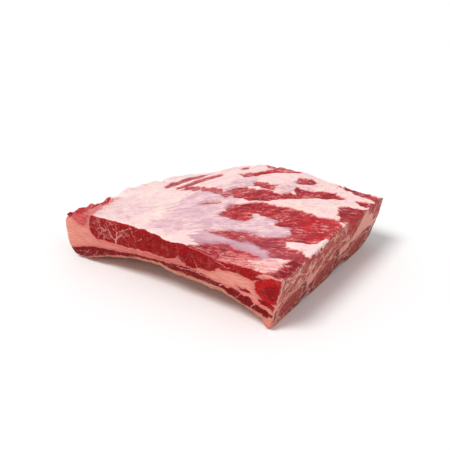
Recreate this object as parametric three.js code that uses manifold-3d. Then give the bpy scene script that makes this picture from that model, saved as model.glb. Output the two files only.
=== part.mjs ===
// Raw beef short ribs: one slab sawn from the plate, with three ribs, lying bone side down.
//
// Millimetres. +X runs along the ribs, +Y across them, away from the long cut face whose
// layers show, and +Z is up. The origin is the middle of the bounding box's bottom.
//
// From the top down the slab is: the top muscle, a seam of fat, the meat that wraps the
// ribs, and the pale skin of the rib cage's inside. A small muscle ends at the front right
// corner, and another runs along the back edge. All of them reach the cut faces, where the
// sawn ends of the ribs show too.
//
// Every layer lies between two height fields over the same plan, so the cut faces run
// unbroken from layer to layer. The ribs are swept sections, cut out of the meat.

import * as THREE from "three";
import { mergeVertices } from "three/addons/utils/BufferGeometryUtils.js";
import Module from "manifold-3d";

const wasm = await Module();
wasm.setup();

// ---------------------------------------------------------------- driving dimensions

const LENGTH = 247;
const WIDTH = 208;
const EDGE_HEIGHT = 52;
const CROWN = 2.5;

// The right sawn end and the front cut face lean inwards on the way down.
const RIGHT_UNDERCUT = 12;
const FRONT_UNDERCUT = 3;
const BACK_UNDERCUT = 3;
const CORNER_PULL = 1;

// Neighbouring pieces keep this gap, so that no two solids touch.
const GAP = 0.3;
const THINNEST_FAT = 1.6;
const THINNEST_MUSCLE = 3;

// Steps along and across the slab, closer together towards its ends and sides by the
// bunching shares, and up the side of each layer.
const STEPS_X = 20;
const STEPS_Y = 22;
const BUNCH_X = 0.45;
const BUNCH_Y = 0.2;
const RIB_STEPS = 12;
const RIB_SIDES = 14;

// Heights along the front cut face, as [x, z] stations from its left end to its right.
const FRONT_TOP = [
  [-112, 51.6], [-88, 54.3], [-55, 56.6], [-24, 57.9], [-5, 57.2], [7, 54], [20, 55.6],
  [64, 52], [106, 53.3], [123, 52.6],
];
const FRONT_MUSCLE_FLOOR = [
  [-118, 47], [-94, 46.5], [-91, 40], [-87, 33.8], [-80, 30.4], [-53, 31.4], [-22, 34.7],
  [12, 36.4], [34, 40.5], [51, 37.6], [60, 43.4], [82, 45.6], [97, 45], [105, 50],
];
const FRONT_MEAT_TOP = [
  [-118, 11.5], [-88, 19.3], [-53, 24.8], [-25, 28.8], [12, 32.1], [32, 33.8], [55, 30.8],
  [83, 28.3], [99, 23], [110, 16.6], [123, 11],
];
const FRONT_ARCH = [
  [-102, 2], [-88, 7.4], [-53, 17.8], [-27, 23.1], [-6, 24.7], [12, 21.6], [62, 21],
  [76, 18.4], [104, 7], [110, 1.8], [123, 2.4],
];
const FRONT_SKIN = [
  [-104, 2.4], [-24, 3], [12, 5.2], [54, 5.6], [78, 3.4], [103, 5.8], [110, 7.8], [123, 4],
];
const FRONT_SKIN_REACH = 16;
const SKIN = 2.6;

// Heights along the back edge, which is low at its left end and highest left of the middle.
const BACK_TOP = [
  [-112, 30], [-78, 41.5], [-56, 51], [-26, 59.5], [-12, 62], [18, 62], [58, 55.5],
  [98, 54], [123, 53.5],
];
const BACK_MUSCLE_DEPTH = 15;
const BACK_MUSCLE_DEPTH_LEFT = 6;
const BACK_MEAT_DEPTH = 12;
const BACK_ROUND = 9;
const BACK_ROUND_REACH = 14;

// The left end's outline, as [z, x]: it bulges above its middle. The back edge's, as
// [x, y inwards from the widest place].
const LEFT_OUTLINE = [
  [0, -110], [6, -116.5], [16, -118.5], [28, -119.5], [40, -123.5], [47, -120], [52, -114.5],
];
const BACK_INSET = [[-117, 8], [-18, 7], [24, 2], [54, 0], [94, 1], [123, 6]];

// What the left and right ends add to the straight line between their corners, as [y, z].
// The left end's rim is lobed, and its lobes die away quickly.
const LEFT_TOP_SWELL = [
  [-104, 0], [-56, -1], [-35, -2.5], [-19, 3.2], [0, 1.2], [22, 1.2], [39, -0.6], [58, 2],
  [77, 0.8], [96, 0],
];
const LEFT_SWELL_FADE = 3;

// The far right corner swells out below the upper face, from this x to the right end.
const CORNER_SWELL = { from: 92, depth: 4.8, z: 33, reach: 15 };
const RIGHT_TOP_SWELL = [
  [-104, 0], [-66, 1.8], [-30, 3.4], [12, 5.6], [34, 4.4], [58, 2.6], [86, 2], [98, 0],
];
const RIGHT_MUSCLE_SWELL = [
  [-104, 0], [-88, -16], [-50, -18], [0, -14], [30, -12], [50, -8.5], [60, -2], [69, 6],
  [76, 5], [86, -7], [96, -6],
];

// The ribs, near to far: the middle of the section, its width and height at the sawn ends,
// how it leans, and how far it bulges out of the underside.
const RIBS = [
  { name: "rib_bone_near", y: -74, width: 42, height: 19, tilt: 6, bulge: 1 },
  { name: "rib_bone_middle", y: -13, width: 42, height: 20, tilt: 12, bulge: 1 },
  { name: "rib_bone_far", y: 60, width: 46, height: 18, tilt: 4, bulge: 0.8 },
];
const RIB_BOTTOM_AT_ENDS = 5;
const RIB_BOTTOM_AT_WAIST = 1.5;
const RIB_WAIST = 0.78;
const RIB_SQUARENESS = 0.8;
const RIB_LOBE_DEPTH = 7;
const RIB_LOBE_SPREAD = 24;
const RIB_TROUGH = 3;
const RIB_FOOT = 0.04;
const RIB_COVER = 2.6;
const FRONT_EDGE_LOBE = 0.43;
const FRONT_EDGE_SPREAD = 9;

// The little muscle that ends at the front right corner is an egg around this point.
const CORNER_MUSCLE = { x: 125, y: -106, z: 39, reachX: 28, reachY: 52, reachZ: 13.5 };

// The muscle along the back edge starts here, where the fat comes up, and runs slightly
// away from the back edge towards the left.
const EDGE_MUSCLE_START_RIGHT = 75;
const EDGE_MUSCLE_START_LEFT = 80;

const COLOURS = {
  lean: 0x9b2430,
  deepLean: 0x7d1b28,
  fat: 0xe8b7a6,
  skin: 0xd9bfa4,
  bone: 0x8f3f3d,
};

// ---------------------------------------------------------------------------- helpers

const HALF_LENGTH = LENGTH / 2;
const FRONT_Y = -WIDTH / 2;
const BACK_Y = WIDTH / 2;
const OVERSHOOT = 6;
const SETTLING_ROUNDS = 12;

const lerp = THREE.MathUtils.lerp;
const clamp = THREE.MathUtils.clamp;
const smooth = THREE.MathUtils.smoothstep;

/** A smooth curve through stations [position, value], with no overshoot between them. */
function through(stations) {
  const last = stations.length - 1;
  const chord = (i) =>
    (stations[i + 1][1] - stations[i][1]) / (stations[i + 1][0] - stations[i][0]);
  const slope = stations.map((_, i) => {
    if (i === 0 || i === last) {
      return chord(Math.min(i, last - 1));
    }
    const before = chord(i - 1);
    const after = chord(i);
    return before * after <= 0 ? 0 : (2 * before * after) / (before + after);
  });
  return (position) => {
    const at = clamp(position, stations[0][0], stations[last][0]);
    let i = 0;
    while (i < last - 1 && at > stations[i + 1][0]) {
      i += 1;
    }
    const span = stations[i + 1][0] - stations[i][0];
    const t = (at - stations[i][0]) / span;
    const s = 1 - t;
    return (
      stations[i][1] * s * s * (1 + 2 * t) +
      stations[i + 1][1] * t * t * (1 + 2 * s) +
      span * s * t * (slope[i] * s - slope[i + 1] * t)
    );
  };
}

/** The larger of two heights, with the fold between them rounded over `radius`. */
function roundMax(a, b, radius) {
  const overlap = Math.max(radius - Math.abs(a - b), 0) / radius;
  return Math.max(a, b) + (overlap * overlap * radius) / 4;
}

/** A closed three.js geometry as a manifold solid. */
function toSolid(geometry) {
  const bare = geometry.clone();
  bare.deleteAttribute("normal");
  bare.deleteAttribute("uv");
  const merged = mergeVertices(bare, 1e-5);
  return new wasm.Manifold(
    new wasm.Mesh({
      numProp: 3,
      vertProperties: new Float32Array(merged.attributes.position.array),
      triVerts: new Uint32Array(merged.index.array),
    }),
  );
}

/** A manifold solid as a three.js geometry. */
function toGeometry(solid) {
  const mesh = solid.getMesh();
  const geometry = new THREE.BufferGeometry();
  geometry.setAttribute("position", new THREE.BufferAttribute(mesh.vertProperties, 3));
  geometry.setIndex(new THREE.BufferAttribute(mesh.triVerts, 1));
  return geometry;
}

// ---------------------------------------------------------------------- height fields
// Each gives a height at a place (x, y) on the plan.

const curve = {
  frontTop: through(FRONT_TOP),
  frontMuscleFloor: through(FRONT_MUSCLE_FLOOR),
  frontMeatTop: through(FRONT_MEAT_TOP),
  frontSkin: through(FRONT_SKIN),
  arch: through(FRONT_ARCH),
  backTop: through(BACK_TOP),
  leftOutline: through(LEFT_OUTLINE),
  backInset: through(BACK_INSET),
  leftTopSwell: through(LEFT_TOP_SWELL),
  rightTopSwell: through(RIGHT_TOP_SWELL),
  rightMuscleSwell: through(RIGHT_MUSCLE_SWELL),
};

/** The share of the slab's length to the left of x. */
const shareAlong = (x) => clamp(x / LENGTH + 0.5, 0, 1);

/** The share of the slab's width in front of (x, y). */
const shareAcross = (x, y) =>
  clamp((y - FRONT_Y) / (BACK_Y - curve.backInset(x) - FRONT_Y), 0, 1);

/** How much of a rib's lobe the underside has at y: 1 under a rib, 0 between two. */
function lobe(y) {
  const atFrontEdge = Math.exp(-(((y - FRONT_Y) / FRONT_EDGE_SPREAD) ** 2));
  const underRibs = RIBS.map(
    (rib) => rib.bulge * Math.exp(-(((y - rib.y) / RIB_LOBE_SPREAD) ** 4)),
  );
  return Math.max(FRONT_EDGE_LOBE * atFrontEdge, ...underRibs);
}

function topHeight(x, y) {
  const u = shareAlong(x);
  const v = shareAcross(x, y);
  return (
    lerp(curve.frontTop(x), curve.backTop(x), v) +
    (1 - u) ** LEFT_SWELL_FADE * curve.leftTopSwell(y) +
    u * curve.rightTopSwell(y) +
    CROWN * Math.sin(Math.PI * u) * Math.sin(Math.PI * v)
  );
}

function bottomHeight(x, y) {
  const back = BACK_Y - curve.backInset(x);
  const backCorner = clamp((y - back) / BACK_ROUND_REACH + 1, 0, 1);
  const lift = RIB_TROUGH - RIB_LOBE_DEPTH * lobe(y);
  const archX = x * (1 + RIB_FOOT * lobe(y));
  const round = BACK_ROUND * (1 - Math.sqrt(1 - backCorner * backCorner));
  return Math.max(0, curve.arch(archX) + lift + round);
}

function skinTop(x, y) {
  const atFront = Math.exp(-(((y - FRONT_Y) / FRONT_SKIN_REACH) ** 2));
  return bottomHeight(x, y) + lerp(SKIN, curve.frontSkin(x), atFront);
}

/** A rib's half height at x: least at its waist. */
function ribHalfHeight(rib, x) {
  return (rib.height / 2) * lerp(RIB_WAIST, 1, (x / HALF_LENGTH) ** 2);
}

/** The height of a rib's middle at x: it follows the arch. */
function ribMiddle(rib, x) {
  const bottom = lerp(RIB_BOTTOM_AT_WAIST, RIB_BOTTOM_AT_ENDS, (x / HALF_LENGTH) ** 2);
  return curve.arch(x) + bottom + ribHalfHeight(rib, x);
}

/** The height that the meat needs over the ribs. */
function overRibs(x, y) {
  const tops = RIBS.map((rib) => {
    const reach = Math.abs(y - rib.y) / (rib.width / 2 + RIB_COVER * 2);
    if (reach >= 1) {
      return 0;
    }
    const lean = Math.tan(THREE.MathUtils.degToRad(rib.tilt)) * (y - rib.y);
    const swell = (ribHalfHeight(rib, x) + RIB_COVER) * Math.sqrt(1 - reach ** 3);
    return ribMiddle(rib, x) + lean + swell;
  });
  return Math.max(...tops);
}

function meatTop(x, y) {
  const backMeat = bottomHeight(x, BACK_Y) + BACK_MEAT_DEPTH;
  const plain = lerp(curve.frontMeatTop(x), backMeat, shareAcross(x, y));
  return roundMax(plain, overRibs(x, y), 6);
}

function muscleFloor(x, y) {
  const u = shareAlong(x);
  const depth = lerp(BACK_MUSCLE_DEPTH_LEFT, BACK_MUSCLE_DEPTH, smooth(u, 0, 0.35));
  const plain =
    lerp(curve.frontMuscleFloor(x), curve.backTop(x) - depth, shareAcross(x, y)) +
    smooth(u, 0.35, 1) * curve.rightMuscleSwell(y);
  const raised = roundMax(plain, meatTop(x, y) + THINNEST_FAT, 3);
  return Math.min(raised, topHeight(x, y) - THINNEST_MUSCLE);
}

// ------------------------------------------------------------------------- the layers

/** Where the plan point (u, v), each from 0 to 1, lies at height z. */
function place(u, v, z) {
  const sink = 1 - clamp(z / EDGE_HEIGHT, 0, 1);
  const x = lerp(curve.leftOutline(z), HALF_LENGTH - RIGHT_UNDERCUT * sink, u);
  const swell = CORNER_SWELL.depth * smooth(x, CORNER_SWELL.from, HALF_LENGTH) *
    Math.exp(-(((z - CORNER_SWELL.z) / CORNER_SWELL.reach) ** 2));
  const back = BACK_Y - curve.backInset(x) - BACK_UNDERCUT * sink ** 2 + swell;
  const y = lerp(FRONT_Y + FRONT_UNDERCUT * sink, back, v);
  const cornerness = (Math.abs(2 * u - 1) * Math.abs(2 * v - 1)) ** 10;
  const pull = CORNER_PULL * cornerness;
  return new THREE.Vector3(x - Math.sign(x) * pull, y - Math.sign(y) * pull, z);
}

/** The point of a height field that belongs to the plan point (u, v). */
function pointOn(field, u, v) {
  let at = place(u, v, EDGE_HEIGHT / 2);
  for (let round = 0; round < SETTLING_ROUNDS; round += 1) {
    at = place(u, v, (at.z + field(at.x, at.y)) / 2);
  }
  return at;
}

/** A share from 0 to 1 with its steps bunched towards both ends. */
const bunched = (share, bunch) => share - (bunch * Math.sin(2 * Math.PI * share)) / (2 * Math.PI);

/** Turns the quads of a box's underside, so that both its faces are split alike. */
function splitAlike(geometry) {
  const index = geometry.index;
  const underside = geometry.groups.at(-1);
  for (let i = underside.start; i < underside.start + underside.count; i += 6) {
    const [a, b, d, c] = [index.getX(i), index.getX(i + 1), index.getX(i + 2), index.getX(i + 4)];
    [a, b, c, a, c, d].forEach((corner, k) => index.setX(i + k, corner));
  }
}

/** The closed solid between two height fields, a little in from each by its share of the gap. */
function layer(floor, ceiling, steps = 1) {
  const geometry = new THREE.BoxGeometry(1, 1, 1, STEPS_X, STEPS_Y, steps);
  splitAlike(geometry);
  const position = geometry.attributes.position;
  for (let i = 0; i < position.count; i += 1) {
    const u = bunched(position.getX(i) + 0.5, BUNCH_X);
    const v = bunched(position.getY(i) + 0.5, BUNCH_Y);
    const w = position.getZ(i) + 0.5;
    const low = pointOn(floor.field, u, v);
    const high = pointOn(ceiling.field, u, v);
    const at = place(u, v, lerp(low.z, high.z, w));
    position.setXYZ(i, at.x, at.y, at.z + lerp(floor.inset, -ceiling.inset, w));
  }
  return toSolid(geometry);
}

const inner = (field) => ({ field, inset: GAP / 2 });
const outer = (field) => ({ field, inset: 0 });

/** A rib as a swept section that runs past both sawn ends, grown all round by `extra`. */
function ribSweep(rib, extra) {
  const geometry = new THREE.CylinderGeometry(1, 1, 1, RIB_SIDES, RIB_STEPS);
  const position = geometry.attributes.position;
  const tilt = THREE.MathUtils.degToRad(rib.tilt);
  for (let i = 0; i < position.count; i += 1) {
    const x = lerp(-HALF_LENGTH, HALF_LENGTH, position.getY(i) + 0.5) * 1.05;
    const side = position.getX(i);
    const rise = -position.getZ(i);
    const across = Math.sign(side) * Math.abs(side) ** RIB_SQUARENESS * (rib.width / 2 + extra);
    const upward = Math.sign(rise) * Math.abs(rise) ** RIB_SQUARENESS *
      (ribHalfHeight(rib, clamp(x, -HALF_LENGTH, HALF_LENGTH)) + extra);
    const y = rib.y + across * Math.cos(tilt) - upward * Math.sin(tilt);
    const z = ribMiddle(rib, x) + across * Math.sin(tilt) + upward * Math.cos(tilt);
    position.setXYZ(i, x, y, z);
  }
  return toSolid(geometry);
}

/** The egg whose part inside the fat is the corner muscle, grown by `extra`. */
function cornerEgg(extra) {
  const { x, y, z, reachX, reachY, reachZ } = CORNER_MUSCLE;
  const geometry = new THREE.SphereGeometry(1, 20, 12);
  geometry.scale(reachX + extra, reachY + extra, reachZ + extra);
  geometry.translate(x, y, z);
  return toSolid(geometry);
}

/** Everything behind the line where the muscle of the back edge starts. */
function backStrip(extra) {
  const outline = [
    [-HALF_LENGTH - OVERSHOOT, EDGE_MUSCLE_START_LEFT - extra],
    [HALF_LENGTH + OVERSHOOT, EDGE_MUSCLE_START_RIGHT - extra],
    [HALF_LENGTH + OVERSHOOT, BACK_Y + OVERSHOOT],
    [-HALF_LENGTH - OVERSHOOT, BACK_Y + OVERSHOOT],
  ];
  const shape = new THREE.Shape(outline.map(([x, y]) => new THREE.Vector2(x, y)));
  const geometry = new THREE.ExtrudeGeometry(shape, {
    depth: EDGE_HEIGHT * 2,
    bevelEnabled: false,
  });
  return toSolid(geometry);
}

// --------------------------------------------------------------------------- the part

const slab = new THREE.Group();

/** Adds a solid to the part as a named mesh. */
function add(name, solid, colour, roughness) {
  const material = new THREE.MeshStandardMaterial({ color: colour, roughness, metalness: 0 });
  const mesh = new THREE.Mesh(toGeometry(solid), material);
  mesh.name = name;
  slab.add(mesh);
}

const topLayer = layer(inner(muscleFloor), outer(topHeight), 2);
const fatLayer = layer(inner(meatTop), inner(muscleFloor));
const meatLayer = layer(inner(skinTop), inner(meatTop));
const skinLayer = layer(outer(bottomHeight), inner(skinTop));

add("top_muscle", topLayer.subtract(backStrip(GAP)), COLOURS.lean, 0.5);
add("edge_muscle", topLayer.intersect(backStrip(0)), COLOURS.deepLean, 0.5);
add("fat_seam", fatLayer.subtract(cornerEgg(GAP)), COLOURS.fat, 0.45);
add("corner_muscle", fatLayer.intersect(cornerEgg(0)), COLOURS.lean, 0.5);

let meat = meatLayer;
for (const rib of RIBS) {
  meat = meat.subtract(ribSweep(rib, GAP));
  add(rib.name, meatLayer.intersect(ribSweep(rib, 0)), COLOURS.bone, 0.6);
}
add("rib_meat", meat, COLOURS.deepLean, 0.5);
add("inner_skin", skinLayer, COLOURS.skin, 0.4);

// The origin goes to the middle of the bounding box's bottom.
const box = new THREE.Box3().setFromObject(slab);
const middle = box.getCenter(new THREE.Vector3());
slab.position.set(-middle.x, -middle.y, -box.min.z);

export default slab;
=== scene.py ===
"""Raw beef short ribs: the finished look of the slab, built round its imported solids.

Sizes in the classes are millimetres in the part's own frame: +X along the ribs, +Y away
from the long cut face, +Z up. Blender gets metres. The slab's outside is one fine hull,
split into the same layers as the solids; the ribs and the two small muscles are cut out of
their layers. What tissue shows at a point follows from its place alone.
"""

from __future__ import annotations

import logging
import math
from dataclasses import dataclass, field
from enum import Enum, IntEnum
from itertools import product
from typing import Any, Callable, Union

import bmesh
import bpy
import numpy as np
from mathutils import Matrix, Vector
from mathutils.geometry import delaunay_2d_cdt
from mathutils.kdtree import KDTree


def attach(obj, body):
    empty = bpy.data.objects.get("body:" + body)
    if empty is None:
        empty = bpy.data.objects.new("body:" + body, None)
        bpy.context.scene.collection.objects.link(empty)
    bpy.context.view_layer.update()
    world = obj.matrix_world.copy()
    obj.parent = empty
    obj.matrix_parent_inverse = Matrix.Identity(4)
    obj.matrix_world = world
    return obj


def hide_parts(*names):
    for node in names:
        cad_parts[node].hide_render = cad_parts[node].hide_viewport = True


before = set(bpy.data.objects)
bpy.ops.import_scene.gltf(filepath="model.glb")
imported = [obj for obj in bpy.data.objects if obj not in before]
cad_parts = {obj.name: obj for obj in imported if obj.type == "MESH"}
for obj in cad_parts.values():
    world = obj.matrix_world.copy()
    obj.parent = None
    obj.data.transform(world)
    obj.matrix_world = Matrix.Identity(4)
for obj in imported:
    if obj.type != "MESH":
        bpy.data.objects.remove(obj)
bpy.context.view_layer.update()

Array = np.ndarray
Station = tuple[float, float]
Span = tuple[float, float]
Triple = tuple[float, float, float]
Colour = tuple[float, float, float]
HeightField = Callable[[Array, Array], Array]
Socket = bpy.types.NodeSocket
Value = Union[Socket, float, Colour]

MM = 0.001
OUTSIDE = -40.0
log = logging.getLogger("short_ribs")


class Tissue(Enum):
    """What a patch is."""

    LEAN = "lean"
    FAT = "fat"
    FILM = "film"


class Slot(Enum):
    """The record's material slots."""

    LEAN = "lean"
    DEEP_LEAN = "deep_lean"
    FAT = "fat"
    BONE = "bone"
    INNER_SKIN = "inner_skin"


class Layer(IntEnum):
    """The slab's layers, from the underside up."""

    INNER_SKIN = 0
    RIB_MEAT = 1
    FAT_SEAM = 2
    TOP_MUSCLE = 3


class Carving(Enum):
    """What a carved layer keeps."""

    OUTSIDE_TOOLS = "DIFFERENCE"
    INSIDE_TOOLS = "INTERSECT"


# ---- helpers


def ease(value: Array, low: float, high: float) -> Array:
    """A smooth step.

    Args:
        value: where to read it.
        low: where it is 0.
        high: where it is 1.

    Returns:
        Shares from 0 to 1.
    """
    share = np.clip((value - low) / (high - low), 0.0, 1.0)
    return share * share * (3.0 - 2.0 * share)


def hump(value: Array, middle: float, reach: float) -> Array:
    """A bell of height 1 around a middle, which falls to 0.37 at its reach."""
    return np.exp(-(((value - middle) / reach) ** 2))


def round_max(first: Array, second: Array, radius: float) -> Array:
    """The larger of two heights, with the fold between them rounded.

    Args:
        first: one height.
        second: the other height.
        radius: how wide the fold's rounding is.

    Returns:
        The joined heights.
    """
    overlap = np.maximum(radius - np.abs(first - second), 0.0) / radius
    return np.maximum(first, second) + overlap * overlap * radius / 4.0


def to_segment(x: Array, y: Array, start: Station, end: Station) -> tuple[Array, Array]:
    """Measures points against a straight segment.

    Args:
        x: the points' first places.
        y: their second places.
        start: the segment's start.
        end: its end.

    Returns:
        The share of the segment where each point is nearest, and the gap to it there.
    """
    (ax, ay), (bx, by) = start, end
    dx, dy = bx - ax, by - ay
    along = ((x - ax) * dx + (y - ay) * dy) / (dx * dx + dy * dy)
    along = np.clip(along, 0.0, 1.0)
    return along, np.hypot(x - ax - along * dx, y - ay - along * dy)


class Curve:
    """A smooth line through stations, with no overshoot between them."""

    def __init__(self, *stations: Station) -> None:
        """Works out the slope at each station from its neighbours."""
        self.places = np.array([place for place, _ in stations], float)
        self.values = np.array([value for _, value in stations], float)
        chords = np.diff(self.values) / np.diff(self.places)
        before, after = chords[:-1], chords[1:]
        turns = before * after <= 0.0
        total = np.where(turns, 1.0, before + after)
        inner = np.where(turns, 0.0, 2.0 * before * after / total)
        self.slopes = np.concatenate([chords[:1], inner, chords[-1:]])

    def __call__(self, place: Array) -> Array:
        """The line's value at each place."""
        at = np.clip(np.asarray(place, float), self.places[0], self.places[-1])
        i = np.clip(np.searchsorted(self.places, at) - 1, 0, len(self.places) - 2)
        span = self.places[i + 1] - self.places[i]
        t = (at - self.places[i]) / span
        s = 1.0 - t
        bend = span * s * t * (self.slopes[i] * s - self.slopes[i + 1] * t)
        start, end = self.values[i], self.values[i + 1]
        return start * s * s * (1.0 + 2.0 * t) + end * t * t * (1.0 + 2.0 * s) + bend


class Noise:
    """Seeded gradient noise in space, from about -1 to 1."""

    TABLE = 256
    LIFT = 1.6

    def __init__(self, seed: int) -> None:
        """Draws the slopes of the noise's lattice."""
        draws = np.random.default_rng(seed)
        self.order = draws.permutation(self.TABLE)
        slopes = draws.normal(size=(self.TABLE, 3))
        self.slopes = slopes / np.linalg.norm(slopes, axis=1, keepdims=True)

    def at(self, points: Array, size: float) -> Array:
        """One layer of noise.

        Args:
            points: where to read it, as rows of three.
            size: the width of its lumps, in the points' unit.

        Returns:
            A value for each point.
        """
        scaled = points / size
        cell = np.floor(scaled).astype(int)
        inside = scaled - cell
        fade = inside**3 * (inside * (inside * 6.0 - 15.0) + 10.0)
        total = np.zeros(len(points))
        last = self.TABLE - 1
        for corner in product((0, 1), repeat=3):
            x, y, z = ((cell + corner) & last).T
            pick = self.order[(self.order[(self.order[x] + y) & last] + z) & last]
            share = np.prod(np.where(corner, fade, 1.0 - fade), axis=1)
            total += share * np.einsum("ij,ij->i", self.slopes[pick], inside - corner)
        return total * self.LIFT

    def rough(self, points: Array, size: float, layers: int = 3) -> Array:
        """Noise with finer layers on it, each half as wide and half as strong."""
        return sum(
            self.at(points + 17.3 * i, size / 2**i) / 2**i for i in range(layers)
        )


# ---- the anatomy


@dataclass(frozen=True)
class Rib:
    """One rib: the middle of its section, the section's size, and how it lies."""

    name: str
    y: float
    width: float
    height: float
    tilt: float
    bulge: float


@dataclass(frozen=True)
class SlabForm:
    """The slab's form between height fields, from the same sizes as its solids."""

    length: float = 247.0
    width: float = 208.0
    edge_height: float = 52.0
    crown: float = 2.5
    right_undercut: float = 12.0
    front_undercut: float = 3.0
    back_undercut: float = 3.0
    corner_pull: float = 1.0
    corner_sharpness: int = 10
    corner_swell_from: float = 92.0
    corner_swell: float = 4.8
    corner_swell_z: float = 33.0
    corner_swell_reach: float = 15.0
    thinnest_fat: float = 1.6
    thinnest_muscle: float = 3.0
    skin: float = 2.6
    front_skin_reach: float = 16.0
    back_muscle_depth: float = 15.0
    back_muscle_depth_left: float = 6.0
    left_part: float = 0.35
    seam_fold: float = 3.0
    rib_fold: float = 6.0
    settle_steps: int = 12
    back_meat_depth: float = 12.0
    back_round: float = 9.0
    back_round_reach: float = 14.0
    left_swell_fade: float = 3.0
    rib_bottom_at_ends: float = 5.0
    rib_bottom_at_waist: float = 1.5
    rib_waist: float = 0.78
    rib_squareness: float = 0.8
    rib_lobe_depth: float = 7.0
    rib_lobe_spread: float = 24.0
    rib_trough: float = 3.0
    rib_foot: float = 0.04
    rib_cover: float = 2.6
    front_edge_lobe: float = 0.43
    front_edge_spread: float = 9.0
    front_top: Curve = Curve(
        (-112, 51.6), (-88, 54.3), (-55, 56.6), (-24, 57.9), (-5, 57.2), (7, 54),
        (20, 55.6), (64, 52), (106, 53.3), (123, 52.6),
    )
    front_muscle_floor: Curve = Curve(
        (-118, 47), (-94, 46.5), (-91, 40), (-87, 33.8), (-80, 30.4), (-53, 31.4),
        (-22, 34.7), (12, 36.4), (34, 40.5), (51, 37.6), (60, 43.4), (82, 45.6),
        (97, 45), (105, 50),
    )
    front_meat_top: Curve = Curve(
        (-118, 11.5), (-88, 19.3), (-53, 24.8), (-25, 28.8), (12, 32.1), (32, 33.8),
        (55, 30.8), (83, 28.3), (99, 23), (110, 16.6), (123, 11),
    )
    front_arch: Curve = Curve(
        (-102, 2), (-88, 7.4), (-53, 17.8), (-27, 23.1), (-6, 24.7), (12, 21.6),
        (62, 21), (76, 18.4), (104, 7), (110, 1.8), (123, 2.4),
    )
    front_skin: Curve = Curve(
        (-104, 2.4), (-24, 3), (12, 5.2), (54, 5.6), (78, 3.4), (103, 5.8),
        (110, 7.8), (123, 4),
    )
    back_top: Curve = Curve(
        (-112, 30), (-78, 41.5), (-56, 51), (-26, 59.5), (-12, 62), (18, 62),
        (58, 55.5), (98, 54), (123, 53.5),
    )
    left_outline: Curve = Curve(
        (0, -110), (6, -116.5), (16, -118.5), (28, -119.5), (40, -123.5), (47, -120),
        (52, -114.5),
    )
    back_inset: Curve = Curve((-117, 8), (-18, 7), (24, 2), (54, 0), (94, 1), (123, 6))
    left_top_swell: Curve = Curve(
        (-104, 0), (-56, -1), (-35, -2.5), (-19, 3.2), (0, 1.2), (22, 1.2),
        (39, -0.6), (58, 2), (77, 0.8), (96, 0),
    )
    right_top_swell: Curve = Curve(
        (-104, 0), (-66, 1.8), (-30, 3.4), (12, 5.6), (34, 4.4), (58, 2.6), (86, 2),
        (98, 0),
    )
    right_muscle_swell: Curve = Curve(
        (-104, 0), (-88, -16), (-50, -18), (0, -14), (30, -12), (50, -8.5), (60, -2),
        (69, 6), (76, 5), (86, -7), (96, -6),
    )
    ribs: tuple[Rib, ...] = (
        Rib("rib_bone_near", -74, 42, 19, 6, 1),
        Rib("rib_bone_middle", -13, 42, 20, 12, 1),
        Rib("rib_bone_far", 60, 46, 18, 4, 0.8),
    )

    @property
    def front_y(self) -> float:
        """Where the long cut face stands."""
        return -self.width / 2

    @property
    def back_y(self) -> float:
        """Where the back edge stands at its widest."""
        return self.width / 2

    @property
    def half_length(self) -> float:
        """Half of the slab's length."""
        return self.length / 2

    def share_along(self, x: Array) -> Array:
        """The share of the length to the left of x."""
        return np.clip(x / self.length + 0.5, 0.0, 1.0)

    def share_across(self, x: Array, y: Array) -> Array:
        """The share of the width in front of (x, y)."""
        span = self.back_y - self.back_inset(x) - self.front_y
        return np.clip((y - self.front_y) / span, 0.0, 1.0)

    def lobe(self, y: Array) -> Array:
        """How much of a rib's lobe the underside has: 1 under a rib, 0 between two."""
        edge = np.exp(-(((y - self.front_y) / self.front_edge_spread) ** 2))
        most = self.front_edge_lobe * edge
        for rib in self.ribs:
            reach = ((y - rib.y) / self.rib_lobe_spread) ** 4
            most = np.maximum(most, rib.bulge * np.exp(-reach))
        return most

    def top(self, x: Array, y: Array) -> Array:
        """The upper face's height."""
        u, v = self.share_along(x), self.share_across(x, y)
        rim = (1 - u) ** self.left_swell_fade * self.left_top_swell(y)
        crown = self.crown * np.sin(np.pi * u) * np.sin(np.pi * v)
        plain = self.front_top(x) * (1 - v) + self.back_top(x) * v
        return plain + rim + u * self.right_top_swell(y) + crown

    def bottom(self, x: Array, y: Array) -> Array:
        """The bone side's height."""
        back = self.back_y - self.back_inset(x)
        corner = np.clip((y - back) / self.back_round_reach + 1.0, 0.0, 1.0)
        lift = self.rib_trough - self.rib_lobe_depth * self.lobe(y)
        arch = self.front_arch(x * (1.0 + self.rib_foot * self.lobe(y)))
        rounding = self.back_round * (1.0 - np.sqrt(1.0 - corner * corner))
        return np.maximum(0.0, arch + lift + rounding)

    def skin_top(self, x: Array, y: Array) -> Array:
        """The height where the inner skin ends and the rib meat starts."""
        at_front = np.exp(-(((y - self.front_y) / self.front_skin_reach) ** 2))
        thickness = self.skin + (self.front_skin(x) - self.skin) * at_front
        return self.bottom(x, y) + thickness

    def rib_half_height(self, rib: Rib, x: Array) -> Array:
        """Half of a rib's height at x: least at its waist."""
        share = (np.clip(x, -self.half_length, self.half_length) / self.half_length) ** 2
        return rib.height / 2 * (self.rib_waist + (1 - self.rib_waist) * share)

    def rib_middle(self, rib: Rib, x: Array) -> Array:
        """The height of a rib's middle at x."""
        share = (x / self.half_length) ** 2
        ends, waist = self.rib_bottom_at_ends, self.rib_bottom_at_waist
        rise = waist + (ends - waist) * share
        return self.front_arch(x) + rise + self.rib_half_height(rib, x)

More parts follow.
